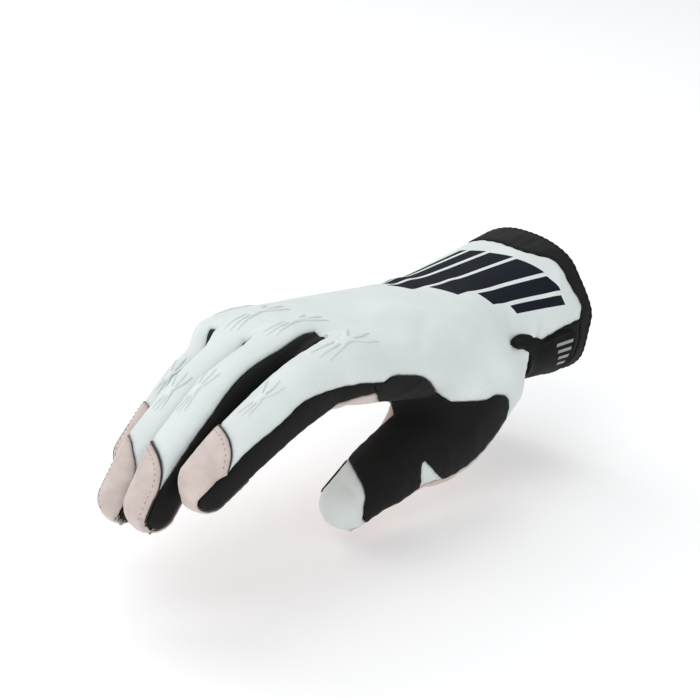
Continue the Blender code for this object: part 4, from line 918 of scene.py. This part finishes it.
@dataclass(frozen=True)
class KnitFinish:
    """Stretch cloth: a fine knit with painted shade in its valleys, soft patches of tone, painted shade along the
    seams, and a soft sheen.
    """

    name: str
    colour: Colour
    roughness: float = 0.78
    pitch_mm: float = 1.0
    bump: float = 0.22
    sheen: float = 0.25
    # How dark the painted shade along the seams is.
    seam: float = 0.3
    # How dark the painted shade in the knit's valleys is.
    shade: float = 0.06
    gloss: float = 0.3
    pattern: Optional[PrintPattern] = None

    def material(self) -> bpy.types.Material:
        """The cloth's material."""
        made, n, shader, where = new_material(self.name)
        chart = n.add("ShaderNodeUVMap", uv_map="chart").outputs[0]
        knit = n.place(EFFECTS.knit, Chart=chart, Pitch_mm=self.pitch_mm)
        patch = n.ramp(n.noise(where, 55.0, 3.0), 0.3, 0.7)
        colour = n.mix(patch, tinted(self.colour, 0.95), tinted(self.colour, 1.03))
        shader.inputs["Sheen Weight"].default_value = self.sheen
        shader.inputs["Specular IOR Level"].default_value = self.gloss
        if self.pattern is not None:
            inked = self.pattern.mask(n)
            colour = n.mix(inked, colour, (*self.pattern.ink, 1.0))
            n.feed(shader.inputs["Sheen Weight"], n.ramp(inked, 0.0, 1.0, self.sheen, 0.02))
            n.feed(shader.inputs["Specular IOR Level"], n.ramp(inked, 0.0, 1.0, self.gloss, 0.10))
        # Painted shade: the colour is darkened towards black in the knit's valleys, by the share shade.
        low = n.math("MULTIPLY", n.math("SUBTRACT", 1.0, knit.outputs["Shade"]), self.shade)
        colour = n.mix(low, colour, (0.0, 0.0, 0.0, 1.0))
        # Painted shade along the seams, from the attribute seam.
        seam = n.add("ShaderNodeAttribute", attribute_name="seam").outputs["Fac"]
        shaded = n.place(EFFECTS.seam, Position=where, Color=colour, Amount=self.seam, Seam=seam)
        n.feed(shader.inputs["Base Color"], shaded.outputs[0])
        n.feed(shader.inputs["Roughness"], n.ramp(patch, 0.0, 1.0, self.roughness - 0.05, self.roughness + 0.06))
        shader.inputs["Sheen Roughness"].default_value = 0.5
        add_bump(n, shader, knit.outputs["Height"], self.bump, 0.10)
        return made


@dataclass(frozen=True)
class SuedeFinish:
    """Synthetic suede: a fine nap that lies in soft patches, with a dry look."""

    name: str
    colour: Colour
    roughness: float = 0.92
    bump: float = 0.5
    # How dark the painted shade along the seams is.
    seam: float = 0.35

    def material(self) -> bpy.types.Material:
        """The suede's material."""
        made, n, shader, where = new_material(self.name)
        nap = n.place(EFFECTS.nap, Position=where)
        colour = n.mix(nap.outputs["Lie"], tinted(self.colour, 0.90), tinted(self.colour, 1.07))
        grain = n.math("MULTIPLY", nap.outputs["Grain"], 0.16)
        colour = n.mix(grain, colour, tinted(self.colour, 0.55))
        # Painted shade along the seams, from the attribute seam.
        seam = n.add("ShaderNodeAttribute", attribute_name="seam").outputs["Fac"]
        shaded = n.place(EFFECTS.seam, Position=where, Color=colour, Amount=self.seam, Seam=seam)
        n.feed(shader.inputs["Base Color"], shaded.outputs[0])
        n.feed(shader.inputs["Roughness"], n.ramp(nap.outputs["Lie"], 0.0, 1.0, self.roughness - 0.06, self.roughness + 0.05))
        shader.inputs["Sheen Weight"].default_value = 0.35
        shader.inputs["Sheen Roughness"].default_value = 0.4
        add_bump(n, shader, nap.outputs["Height"], self.bump, 0.15)
        return made


@dataclass(frozen=True)
class RubberFinish:
    """Moulded rubber: a satin skin with a fine grain, and a line of another colour at its rim, which on the claws is a
    little darker: painted shade at the moulding's edge.
    """

    name: str
    colour: Colour
    # The colour of the line along the rim; on the claws it is painted shade.
    rim: Colour
    roughness: float = 0.45
    bump: float = 0.12
    grain: float = 1500.0
    gloss: float = 0.4
    pattern: Optional[PrintPattern] = None

    def material(self) -> bpy.types.Material:
        """The rubber's material."""
        made, n, shader, where = new_material(self.name)
        fine = n.noise(where, self.grain, 2.0)
        cloud = n.ramp(n.noise(where, 90.0, 3.0), 0.3, 0.7)
        colour = n.mix(cloud, tinted(self.colour, 0.96), tinted(self.colour, 1.03))
        seam = n.add("ShaderNodeAttribute", attribute_name="seam").outputs["Fac"]
        # The rim line over the outermost millimetre: darker on the claws, painted shade along the moulding's edge;
        # slightly lighter on the strap.
        colour = n.mix(n.ramp(seam, 0.35, 0.85), colour, (*self.rim, 1.0))
        if self.pattern is not None:
            colour = n.mix(self.pattern.mask(n), colour, (*self.pattern.ink, 1.0))
        n.feed(shader.inputs["Base Color"], colour)
        shader.inputs["Specular IOR Level"].default_value = self.gloss
        n.feed(shader.inputs["Roughness"], n.ramp(cloud, 0.0, 1.0, self.roughness - 0.06, self.roughness + 0.08))
        add_bump(n, shader, fine, self.bump, 0.10)
        return made


@dataclass(frozen=True)
class ThreadFinish:
    """Sewing thread: two plies that wind round each other, with a slight gloss."""

    name: str
    colour: Colour
    roughness: float = 0.6

    def material(self) -> bpy.types.Material:
        """The thread's material."""
        made, n, shader, where = new_material(self.name)
        strand = n.noise(where, 5200.0, 1.0)
        colour = n.mix(n.ramp(strand, 0.35, 0.65), tinted(self.colour, 0.8), tinted(self.colour, 1.1))
        n.feed(shader.inputs["Base Color"], colour)
        n.feed(shader.inputs["Roughness"], n.ramp(strand, 0.3, 0.7, self.roughness - 0.08, self.roughness + 0.08))
        add_bump(n, shader, strand, 0.3, 0.08)
        return made


def new_material(name: str) -> tuple[bpy.types.Material, Nodes, bpy.types.Node, bpy.types.NodeSocket]:
    """A material with its shader and the object position in metres."""
    made = bpy.data.materials.new(name)
    made.use_nodes = True
    n = Nodes(made.node_tree)
    shader = made.node_tree.nodes["Principled BSDF"]
    where = n.add("ShaderNodeTexCoord").outputs["Object"]
    return made, n, shader, where


def add_bump(n: Nodes, shader: bpy.types.Node, height: bpy.types.NodeSocket, strength: float, depth_mm: float) -> None:
    """A bump node from a height of 0 to 1 into the shader's normal."""
    node = n.add("ShaderNodeBump")
    node.inputs["Strength"].default_value = strength
    node.inputs["Distance"].default_value = depth_mm * MM
    n.feed(node.inputs["Height"], height)
    n.feed(shader.inputs["Normal"], node.outputs[0])


PRINT = PrintPattern(
    bars=(
        PrintBar(-0.9, 0.16, 2.3, 6.6),
        PrintBar(-0.2, 0.34, 2.4, 7.4),
        PrintBar(0.85, 0.50, 2.5, 7.9),
        PrintBar(2.15, 0.60, 2.6, 7.3),
        PrintBar(3.35, 0.40, 2.7, 6.4),
        PrintBar(4.2, 0.24, 2.8, 5.6),
    ),
    slant=-12.0,
    lean=0.45,
)
STRAP_MARKS = PrintPattern(
    bars=tuple(PrintBar(6.15 + 0.42 * k, 0.09, 1.35, 2.35 - 0.18 * k) for k in range(4)),
    slant=0.0,
    lean=0.0,
    ink=(0.33, 0.34, 0.34),
)


class Palette:
    """Every finish of the glove as a material."""

    def __init__(self) -> None:
        pale, dark = (0.745, 0.80, 0.79), (0.0105, 0.0108, 0.0104)
        self.back = KnitFinish("white_stretch_fabric_printed", pale, pattern=PRINT).material()
        self.white = KnitFinish("white_stretch_fabric", pale).material()
        self.black = KnitFinish("black_stretch_fabric", dark, shade=0.3, sheen=0.02, gloss=0.12).material()
        self.binding = KnitFinish(
            "black_cuff_binding", dark, shade=0.35, pitch_mm=1.6, bump=0.6, sheen=0.03, gloss=0.16
        ).material()
        self.suede = SuedeFinish("beige_suede", (0.665, 0.56, 0.515)).material()
        self.cut = SuedeFinish("suede_cut_edge", (0.16, 0.13, 0.115), bump=0.3, seam=0.0).material()
        # The claws' second colour is their rim line: a little darker, painted shade along the moulding's edge.
        self.claw = RubberFinish("white_moulded_rubber", (0.76, 0.815, 0.805), (0.70, 0.755, 0.75)).material()
        self.strap = RubberFinish(
            "black_closure_rubber", (0.0065, 0.0067, 0.0069), (0.009, 0.0092, 0.0095), bump=0.25, gloss=0.06, roughness=0.62, pattern=STRAP_MARKS
        ).material()
        self.dark_thread = ThreadFinish("dark_thread", (0.022, 0.020, 0.020)).material()
        self.suede_thread = ThreadFinish("suede_thread", (0.34, 0.25, 0.23)).material()


# Making pieces


def new_piece(name: str, points_mm: Array, faces: Array, *materials: bpy.types.Material) -> bpy.types.Object:
    """A smooth mesh object at the origin from points in millimetres and triangles."""
    mesh = bpy.data.meshes.new(name)
    mesh.vertices.add(len(points_mm))
    mesh.vertices.foreach_set("co", (points_mm * MM).astype(np.float32).ravel())
    sides = faces.shape[1]
    mesh.loops.add(faces.size)
    mesh.loops.foreach_set("vertex_index", faces.astype(np.int32).ravel())
    mesh.polygons.add(len(faces))
    mesh.polygons.foreach_set("loop_start", np.arange(0, faces.size, sides, dtype=np.int32))
    mesh.polygons.foreach_set("loop_total", np.full(len(faces), sides, np.int32))
    mesh.update(calc_edges=True)
    mesh.polygons.foreach_set("use_smooth", np.ones(len(faces), bool))
    for made in materials:
        mesh.materials.append(made)
    piece = bpy.data.objects.new(name, mesh)
    bpy.context.scene.collection.objects.link(piece)
    return piece


def set_attribute(piece: bpy.types.Object, name: str, values: Array) -> None:
    """A float for each point of the piece."""
    layer = piece.data.attributes.new(name, "FLOAT", "POINT")
    layer.data.foreach_set("value", values.astype(np.float32))


def set_chart(piece: bpy.types.Object, chart: Array) -> None:
    """A UV map named chart from two values for each point."""
    corners = np.empty(len(piece.data.loops), np.int32)
    piece.data.loops.foreach_get("vertex_index", corners)
    layer = piece.data.uv_layers.new(name="chart")
    layer.data.foreach_set("uv", chart[corners].astype(np.float32).ravel())


def add_wall(piece: bpy.types.Object, thickness: float, rim_material: int = 0) -> None:
    """A wall that grows inwards from the outer face."""
    wall = piece.modifiers.new("wall", "SOLIDIFY")
    wall.thickness = thickness * MM
    wall.offset = -1.0
    wall.material_offset_rim = rim_material


@dataclass
class Panel:
    """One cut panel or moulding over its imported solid."""

    node: str
    slot: str
    edge: EdgeForm
    thickness: float = 1.3
    middle_level: float = -0.65
    splits: int = 3
    fine_edge: float = 0.0
    folds: tuple[Fold, ...] = ()
    rim_material: int = 0
    flat_mm: Optional[tuple[float, float]] = None
    area_cm2: float = 0.0
    sharp: float = 42.0
    sheet: Optional[Sheet] = None
    out: Optional[Array] = None

    def build(self, *materials: bpy.types.Material) -> bpy.types.Object:
        """Args:
            materials: the face material, then the cut edge's where it has one.

        Returns:
            The finished piece.
        """
        sheet = Sheet.outer_of(self.node, self.middle_level, self.sharp).refined(self.splits, self.fine_edge)
        _, out = FORM.surface(sheet.points)
        sheet = sheet.widened(self.edge.widen, out)
        sheet = Sheet(FORM.settle(sheet.points, rounds=2), sheet.faces, sheet.corner)
        _, out = FORM.surface(sheet.points)
        distance, arc = sheet.edge_distance()
        level = self.edge.level(distance, arc)
        fade = ease(distance / 5.0)
        for fold in self.folds:
            level += fold.level(sheet.points) * fade
        self.sheet, self.out = sheet, out
        piece = new_piece(self.node + "_skin", sheet.points + level[:, None] * out, sheet.faces, *materials)
        # seam is 1 at the border and falls off over about a millimetre: the cloth and suede paint shade along their
        # seams with it, and the rubber its rim line.
        set_attribute(piece, "seam", np.exp(-distance / 0.9))
        set_chart(piece, FORM.cloth_chart(sheet.points))
        add_wall(piece, self.thickness, self.rim_material)
        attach(piece, ROOT)
        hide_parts(self.node)
        LOG.info("%s: %d faces, %.1f square cm, %d border loops", piece.name, len(sheet.faces), sheet.area(), len(sheet.loops()))
        return piece


@dataclass
class StitchRow:
    """A row of stitches: small capsules laid end to end along a line, each dipping into the cloth at its ends."""

    length: float = 2.3
    gap: float = 0.9
    radius: float = 0.24
    around: int = 6
    stations: int = 5

    def build(self, name: str, lines: Sequence[Array], level: float, thread: bpy.types.Material, slot: str) -> bpy.types.Object:
        """One mesh of all stitches on the lines.

        The section is a circle of radius r sin(pi t) for t along the stitch, and its middle stands 0.8 r over the
        cloth and its ends r under it.
        """
        grids = []
        for line in lines:
            steps = np.append(0, np.cumsum(np.linalg.norm(np.diff(line, axis=0), axis=1)))
            count = int(steps[-1] / (self.length + self.gap))
            if count < 1:
                continue
            starts = (np.arange(count) + 0.5) * steps[-1] / count - self.length / 2
            t = np.linspace(0, 1, self.stations)
            at = starts[:, None] + t * self.length
            centre = np.stack([np.interp(at, steps, line[:, k]) for k in range(3)], -1)
            flat = centre.reshape(-1, 3)
            flat = FORM.settle(flat, rounds=3)
            _, out = FORM.surface(flat)
            out = out.reshape(centre.shape)
            centre = flat.reshape(centre.shape)
            rise = level + self.radius * (1.8 * np.sin(np.pi * t) - 1.0)
            centre = centre + rise[None, :, None] * out
            tangent = unit(np.gradient(centre, axis=1))
            side = unit(np.cross(out, tangent))
            size = self.radius * np.maximum(np.sin(np.pi * t) ** 0.6, 0.25)
            a = np.linspace(0, 2 * np.pi, self.around, endpoint=False)
            ring = side[:, :, None] * np.cos(a)[None, None, :, None] + out[:, :, None] * np.sin(a)[None, None, :, None]
            grids.append(centre[:, :, None] + ring * size[None, :, None, None])
        grid = np.concatenate(grids)
        count = len(grid)
        index = np.arange(grid.size // 3).reshape(count, self.stations, self.around)
        nxt = np.roll(index, -1, axis=2)
        quads = np.stack([index[:, :-1], nxt[:, :-1], nxt[:, 1:], index[:, 1:]], -1).reshape(-1, 4)
        triangles = np.concatenate([quads[:, [0, 1, 2]], quads[:, [0, 2, 3]]])
        caps = []
        for end, order in ((index[:, 0], (0, 2, 1)), (index[:, -1], (0, 1, 2))):
            fan = np.stack([np.repeat(end[:, :1], self.around - 2, 1), end[:, 1:-1], end[:, 2:]], -1).reshape(-1, 3)
            caps.append(fan[:, order])
        faces = np.concatenate([triangles, *caps])
        piece = new_piece(name, grid.reshape(-1, 3), outward(grid.reshape(-1, 3), faces), thread)
        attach(piece, ROOT)
        LOG.info("%s: %d stitches", name, count)
        return piece


@dataclass
class Tube:
    """A round cord or roll along a line on the glove."""

    radius: float
    around: int = 8
    sink: float = 0.0
    ripple: float = 0.0
    ripple_length: float = 3.0

    def build(self, name: str, line: Array, closed: bool, finish: bpy.types.Material, slot: str) -> bpy.types.Object:
        """A circle of radius r (1 + ripple sin(2 pi x / ripple length)) carried along the line, x along it.

        An open line's ends shrink to a point over their last three stations.
        """
        if closed:
            for _ in range(4):
                line = (np.roll(line, 1, 0) + 2 * line + np.roll(line, -1, 0)) / 4
            tangent = unit(np.roll(line, -1, 0) - np.roll(line, 1, 0))
        else:
            tangent = unit(np.gradient(line, axis=0))
        _, out = FORM.surface(line)
        out = unit(out - tangent * (out * tangent).sum(1)[:, None])
        side = np.cross(tangent, out)
        a = np.linspace(0, 2 * np.pi, self.around, endpoint=False)
        steps = np.append(0, np.cumsum(np.linalg.norm(np.diff(line, axis=0), axis=1)))
        size = self.radius * (1 + self.ripple * np.sin(2 * np.pi * steps / self.ripple_length))
        count = len(line)
        if not closed:
            ends = np.minimum(np.arange(count), np.arange(count)[::-1]) / 3
            size = size * np.sqrt(np.clip(1 - np.clip(1 - ends, 0, 1) ** 2, 0.0, 1))
        centre = line - self.sink * out
        ring = side[:, None] * np.cos(a)[None, :, None] + out[:, None] * np.sin(a)[None, :, None]
        grid = centre[:, None] + ring * size[:, None, None]
        index = np.arange(count * self.around).reshape(count, self.around)
        if closed:
            after = np.roll(index, -1, 0)
        else:
            index[0] = index[0, 0]
            index[-1] = index[-1, 0]
            index, after = index[:-1], index[1:]
        quads = np.stack([index, after, np.roll(after, -1, 1), np.roll(index, -1, 1)], -1).reshape(-1, 4)
        faces = np.concatenate([quads[:, [0, 1, 2]], quads[:, [0, 2, 3]]])
        whole = (faces[:, 0] != faces[:, 1]) & (faces[:, 1] != faces[:, 2]) & (faces[:, 0] != faces[:, 2])
        used, renumbered = np.unique(faces[whole], return_inverse=True)
        points = grid.reshape(-1, 3)[used]
        faces = renumbered.reshape(-1, 3)
        piece = new_piece(name, points, faces, finish)
        set_attribute(piece, "seam", np.zeros(len(points)))
        chart = np.stack([np.repeat(steps, self.around), np.tile(a * self.radius, count)], 1) / 10
        set_chart(piece, chart[used])
        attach(piece, ROOT)
        LOG.info("%s: %d faces", name, len(faces))
        return piece


def outward(points: Array, faces: Array) -> Array:
    """The faces turned so that their signed volume is positive."""
    a, b, c = (points[faces[:, k]] for k in range(3))
    centre = points.mean(0)
    volume = ((a - centre) * np.cross(b - centre, c - centre)).sum()
    return faces if volume > 0 else faces[:, ::-1]


def inside_line(panel: Panel, run: Array, inset: float) -> Array:
    """A border run moved into its panel by the inset, smoothed, as points."""
    sheet = panel.sheet
    on, way = sheet.inward(panel.out)
    place = np.full(len(sheet.points), -1)
    place[on] = np.arange(len(on))
    inner = way[place[run]]
    for _ in range(6):
        inner[1:-1] = inner[:-2] + inner[1:-1] + inner[2:]
        inner = unit(inner)
    return sheet.points[run] + inset * inner


def long_runs(panel: Panel, least: float = 8.0) -> list[Array]:
    """The border runs that are at least this long."""
    found = []
    for run in panel.sheet.runs():
        if np.linalg.norm(np.diff(panel.sheet.points[run], axis=0), axis=1).sum() >= least:
            found.append(run)
    return found


# The sub-assemblies

SEAM = EdgeForm(Edge.ROLLED)
CLOTH_SLOT = "white_stretch_fabric"
BLACK_SLOT = "black_stretch_fabric"
SUEDE_SLOT = "beige_suede"


@dataclass
class BackOfHand:
    """The pale back panel with its printed pattern and folds."""

    folds: tuple[Fold, ...] = (
        Fold("hand", 24, 62, 35, 18, 2.6, 0.8),
        Fold("hand", 34, 84, 60, 14, 2.4, -0.8, 2.0),
        Fold("hand", 42, 100, 48, 12, 2.2, 0.9),
        Fold("hand", 50, 70, 70, 16, 3.0, -0.6, -2.0),
        Fold("hand", 60, 30, 80, 22, 3.4, 0.5, 3.0),
        Fold("hand", 72, -10, 84, 22, 3.2, -0.5, 2.0),
        Fold("hand", 60, -50, 76, 18, 3.0, 0.6),
        Fold("hand", 104, 44, 40, 16, 3.0, -0.6, 2.0),
        Fold("hand", 112, 20, 30, 14, 3.2, 0.5),
        Fold("hand", 118, 62, 20, 12, 2.6, -0.6),
    )

    def build(self, palette: Palette) -> Panel:
        """Builds the panel."""
        panel = Panel("back_panel", CLOTH_SLOT, SEAM, splits=2, fine_edge=6.0, folds=self.folds, flat_mm=(150, 225), area_cm2=210)
        panel.build(palette.back)
        return panel


@dataclass
class PalmSide:
    """The suede palm with its creases."""

    def folds(self) -> tuple[Fold, ...]:
        """Creases at the fingers' joints and across the palm."""
        found = [
            Fold("hand", 120, 180, 80, 30, 2.2, -0.8, 5.0),
            Fold("hand", 98, 170, 60, 26, 2.4, -0.8, 6.0),
            Fold("hand", 74, 200, 40, 20, 2.6, 0.7),
            Fold("hand", 52, 190, 85, 22, 2.6, -0.6),
            Fold("hand", 108, 200, 72, 24, 3.2, 0.6, 4.0),
        ]
        for f in FINGERS:
            for at, height in ((0.05, -0.8), (0.16, 0.5), (0.44, -0.8), (0.55, 0.5), (0.74, -0.6)):
                found.append(Fold(f.name, at * f.length, 180, 88, 9, 1.8, height))
        return tuple(found)

    def build(self, palette: Palette) -> Panel:
        """Builds the panel."""
        panel = Panel("palm_panel", SUEDE_SLOT, SEAM, folds=self.folds(), flat_mm=(150, 225), area_cm2=114)
        panel.build(palette.suede)
        return panel


@dataclass
class FingerParts:
    """The suede caps with their stitched cut edges, and the dark strips along the fingers."""

    cap_edge: EdgeForm = EdgeForm(Edge.RAW, base=0.45, pucker=0.06, width=1.8, pucker_length=3.1, widen=0.35)
    inset: float = 2.3
    border_radius: float = 0.32
    border_level: float = 0.25

    @staticmethod
    def facing_back(finger: Finger, cap: Panel, run: Array) -> float:
        """How much a border run lies on the finger's back: the mean cosine of its angle around."""
        _, angle = FORM.limbs[finger.name].chart(cap.sheet.points[run])
        return float(np.cos(np.radians(angle)).mean())

    def build(self, palette: Palette) -> list[Panel]:
        """Builds four caps, two side strips and three strips between the fingers."""
        made = []
        caps = []
        for f in FINGERS:
            folds = tuple(
                Fold(f.name, at * f.length, around, 86, 8, 1.5, height)
                for at, around, height in ((0.93, 0, -0.30), (0.97, 40, 0.25), (0.90, 180, -0.4))
            )
            cap = Panel(f.name + "_tip_cap", SUEDE_SLOT, self.cap_edge, folds=folds, rim_material=1, flat_mm=(28, 42), area_cm2=8.3)
            cap.build(palette.suede, palette.cut)
            caps.append(cap)
        row = StitchRow(length=1.0, gap=1.0, radius=0.17)
        for f, cap in zip(FINGERS, caps):
            back = max(long_runs(cap), key=lambda run: self.facing_back(f, cap, run))
            lines = [inside_line(cap, back, self.inset)]
            row.build(f.name + "_cap_stitches", lines, self.cap_edge.base, palette.suede_thread, SUEDE_SLOT)
            border = Tube(radius=self.border_radius)
            line = inside_line(cap, back, 0.05)
            _, out = FORM.surface(line)
            border.build(f.name + "_cap_border", line + self.border_level * out, False, palette.dark_thread, SUEDE_SLOT)
        for node, flat, area in (
            ("index_side_gusset", (16, 95), 9.7),
            ("little_side_gusset", (14, 75), 5.5),
            ("index_middle_gusset", (26, 170), 18.9),
            ("middle_ring_gusset", (24, 165), 15.3),
            ("ring_little_gusset", (24, 150), 12.5),
        ):
            strip = Panel(node, BLACK_SLOT, SEAM, flat_mm=flat, area_cm2=area)
            strip.build(palette.black)
            made.append(strip)
        return caps + made


@dataclass
class ThumbParts:
    """The dark patch round the thumb's root with its pale wedge, the pale tip and the suede underside."""

    patch_edge: EdgeForm = EdgeForm(Edge.RAW, base=0.25, pucker=0.12, width=2.2, pucker_length=5.0, widen=0.4)
    cord_radius: float = 0.45
    cord_level: float = 0.05

    def build(self, palette: Palette) -> list[Panel]:
        """Builds the four panels and the cord along the tip."""
        folds = (
            Fold("thumb", 18, 60, 70, 12, 2.6, 0.6, 1.5),
            Fold("thumb", 27, 50, 84, 12, 2.4, -0.7, 2.0),
            Fold("thumb", 33, 70, 80, 11, 2.0, 0.5),
            Fold("thumb", 50, 40, 86, 11, 2.0, -0.5),
            Fold("hand", 118, 105, 30, 14, 3.0, 0.6),
        )
        patch = Panel("thumb_patch", BLACK_SLOT, self.patch_edge, folds=folds, flat_mm=(70, 100), area_cm2=30)
        patch.build(palette.black)
        gore = Panel("thumb_gore", CLOTH_SLOT, SEAM, flat_mm=(12, 16), area_cm2=0.9)
        gore.build(palette.white)
        tip_folds = (Fold("thumb", 70, 10, 86, 10, 1.8, -0.4), Fold("thumb", 74, 60, 80, 8, 1.6, 0.3))
        tip = Panel("thumb_tip_panel", CLOTH_SLOT, SEAM, folds=tip_folds, flat_mm=(30, 32), area_cm2=5.7)
        tip.build(palette.white)
        under_folds = (
            Fold("thumb", 30, 180, 88, 12, 2.4, -0.7),
            Fold("thumb", 52, 180, 88, 10, 2.0, -0.6),
            Fold("thumb", 40, 180, 86, 12, 2.6, 0.5),
        )
        under = Panel("thumb_palm_panel", SUEDE_SLOT, SEAM, folds=under_folds, flat_mm=(62, 105), area_cm2=36.7)
        under.build(palette.suede)
        self.tip_cord(tip, palette)
        return [patch, gore, tip, under]

    def tip_cord(self, tip: Panel, palette: Palette) -> None:
        """The dark cord in the seam along the tip's far side, which is its border run furthest from the patch."""
        runs = long_runs(tip)
        angles = [float(FORM.limbs["thumb"].chart(tip.sheet.points[run])[1].mean()) for run in runs]
        line = tip.sheet.points[runs[int(np.argmin(angles))]]
        _, out = FORM.surface(line)
        cord = Tube(radius=self.cord_radius)
        cord.build("thumb_tip_cord", line + self.cord_level * out, False, palette.dark_thread, BLACK_SLOT)


@dataclass
class Cuff:
    """The collar with its rolled rim, the panel under the wrist, and the strap with its raised edge."""

    rim_radius: float = 1.2
    rim_around: int = 14

    def build(self, palette: Palette) -> list[Panel]:
        """Builds the collar, its rim, the under panel, and the strap with its marks."""
        collar_edge = EdgeForm(Edge.ROLLED, base=0.35, depth=0.5, width=1.8, pucker=0.12, pucker_length=4.2)
        collar = Panel(
            "cuff_collar", "black_cuff_binding", collar_edge, thickness=1.8, folds=self.collar_folds(), flat_mm=(205, 13), area_cm2=16.5
        )
        collar.build(palette.binding)
        under_folds = (
            Fold("hand", 22, 180, 86, 26, 2.4, 0.6),
            Fold("hand", 28, 180, 86, 26, 2.2, -0.6),
        )
        under = Panel("cuff_under_panel", BLACK_SLOT, SEAM, folds=under_folds, flat_mm=(105, 34), area_cm2=26.3)
        under.build(palette.black)
        self.rim(collar, palette)
        strap_edge = EdgeForm(Edge.RIDGED, base=0.45, depth=0.7, width=1.5, pucker=0.0, widen=0.45)
        strap = Panel("closure_strap", "black_closure_rubber", strap_edge, thickness=1.2, middle_level=0.95)
        strap.build(palette.strap)
        return [collar, under, strap]

    @staticmethod
    def collar_folds() -> tuple[Fold, ...]:
        """Low ripples round the collar, where the elastic draws it in."""
        return tuple(Fold("hand", 5, angle, 4, 8, 2.0, 0.35 * (-1) ** k) for k, angle in enumerate(range(-170, 180, 14)))

    def rim(self, collar: Panel, palette: Palette) -> None:
        """The rolled rim round the collar's outer border, bumped by the elastic's ripples."""
        sheet = collar.sheet
        line = sheet.points[max(sheet.loops(), key=lambda loop: sheet.points[loop, 0].mean())]
        roll = Tube(radius=self.rim_radius, around=self.rim_around, sink=0.7, ripple=0.09, ripple_length=3.1)
        roll.build("cuff_rim_roll", line, True, palette.binding, "black_cuff_binding")


@dataclass
class Claws:
    """The moulded claws over the knuckles and the middle segments."""

    edge: EdgeForm = EdgeForm(Edge.CROWNED, base=-0.05, depth=0.85, width=1.9, pucker=0.0, widen=0.0)

    def build(self, palette: Palette) -> list[Panel]:
        """Builds eight claws."""
        made = []
        for f in FINGERS:
            for place in ("knuckle", "middle"):
                claw = Panel(
                    f"{f.name}_{place}_claw", "white_moulded_rubber", self.edge, thickness=0.9, middle_level=0.8, splits=3
                )
                claw.build(palette.claw)
                made.append(claw)
        return made


@dataclass
class Studio:
    """A pale floor, soft lights and the camera at the photograph's angle."""

    camera_at: tuple[float, float, float] = (-0.68873, -0.53892, 0.29666)
    ahead: tuple[float, float, float] = (0.68086, 0.63402, -0.36666)
    right: tuple[float, float, float] = (0.67816, -0.73483, -0.01137)
    up: tuple[float, float, float] = (0.27664, 0.24092, 0.93028)
    focal_share: float = 2218.15 / 700
    aim: tuple[float, float] = (0.00081, 0.02516)
    sensor: float = 36.0
    floor_size: float = 6.0
    floor_drop: float = 0.004
    floor_glow: float = 0.16

    def build(self) -> None:
        """Makes the camera, the floor and the lights."""
        self.camera()
        self.floor()
        self.lights()

    def camera(self) -> None:
        """The camera, turned so that its middle ray meets the photograph's middle."""
        data = bpy.data.cameras.new("camera")
        data.sensor_width = self.sensor
        data.lens = self.focal_share * self.sensor
        data.clip_start, data.clip_end = 0.05, 20.0
        made = bpy.data.objects.new("camera", data)
        bpy.context.scene.collection.objects.link(made)
        ahead = (Vector(self.ahead) + self.aim[0] * Vector(self.right) + self.aim[1] * Vector(self.up)).normalized()
        up = Vector(self.up)
        up = (up - ahead * up.dot(ahead)).normalized()
        right = ahead.cross(up)
        turn = Matrix((right, up, -ahead)).transposed().to_4x4()
        made.matrix_world = Matrix.Translation(Vector(self.camera_at)) @ turn
        bpy.context.scene.camera = made

    def floor(self) -> None:
        """A wide pale floor just under the glove."""
        low = CAD_BOX[0][2] - self.floor_drop
        h = self.floor_size / 2
        mesh = bpy.data.meshes.new("floor")
        mesh.from_pydata([(-h, -h, low), (h, -h, low), (h, h, low), (-h, h, low)], [], [(0, 1, 2, 3)])
        made = bpy.data.materials.new("floor")
        made.use_nodes = True
        shader = made.node_tree.nodes["Principled BSDF"]
        shader.inputs["Base Color"].default_value = (0.95, 0.95, 0.95, 1)
        shader.inputs["Roughness"].default_value = 0.9
        shader.inputs["Emission Color"].default_value = (1, 1, 1, 1)
        shader.inputs["Emission Strength"].default_value = self.floor_glow
        mesh.materials.append(made)
        floor = bpy.data.objects.new("floor", mesh)
        bpy.context.scene.collection.objects.link(floor)

    def lights(self) -> None:
        """A broad key over the camera's left shoulder, a fill, a top light, and a pale world."""
        middle = Vector((-0.11, 0.0, -0.01))
        for name, at, size, power in (
            ("key_light", (-0.9, -0.35, 0.95), 0.9, 3.3),
            ("fill_light", (-1.0, -0.75, 0.02), 1.2, 4.2),
            ("top_light", (0.1, 0.3, 1.2), 1.0, 3.6),
            ("back_light", (0.0, 1.1, 0.7), 1.0, 4.6),
        ):
            data = bpy.data.lights.new(name, "AREA")
            data.size = size
            data.energy = power
            light = bpy.data.objects.new(name, data)
            bpy.context.scene.collection.objects.link(light)
            light.location = at
            light.rotation_mode = "QUATERNION"
            light.rotation_quaternion = (middle - Vector(at)).to_track_quat("-Z", "Y")
        world = bpy.data.worlds.new("studio")
        world.use_nodes = True
        world.node_tree.nodes["Background"].inputs[0].default_value = (0.96, 0.98, 1.0, 1)
        world.node_tree.nodes["Background"].inputs[1].default_value = 0.55
        bpy.context.scene.world = world
        bpy.context.scene.view_settings.view_transform = "Standard"


def main() -> None:
    """Builds the glove's sub-assemblies in order, then the studio."""
    palette = Palette()
    BackOfHand().build(palette)
    PalmSide().build(palette)
    FingerParts().build(palette)
    ThumbParts().build(palette)
    Cuff().build(palette)
    Claws().build(palette)
    Studio().build()


if __name__ == "__main__":
    main()
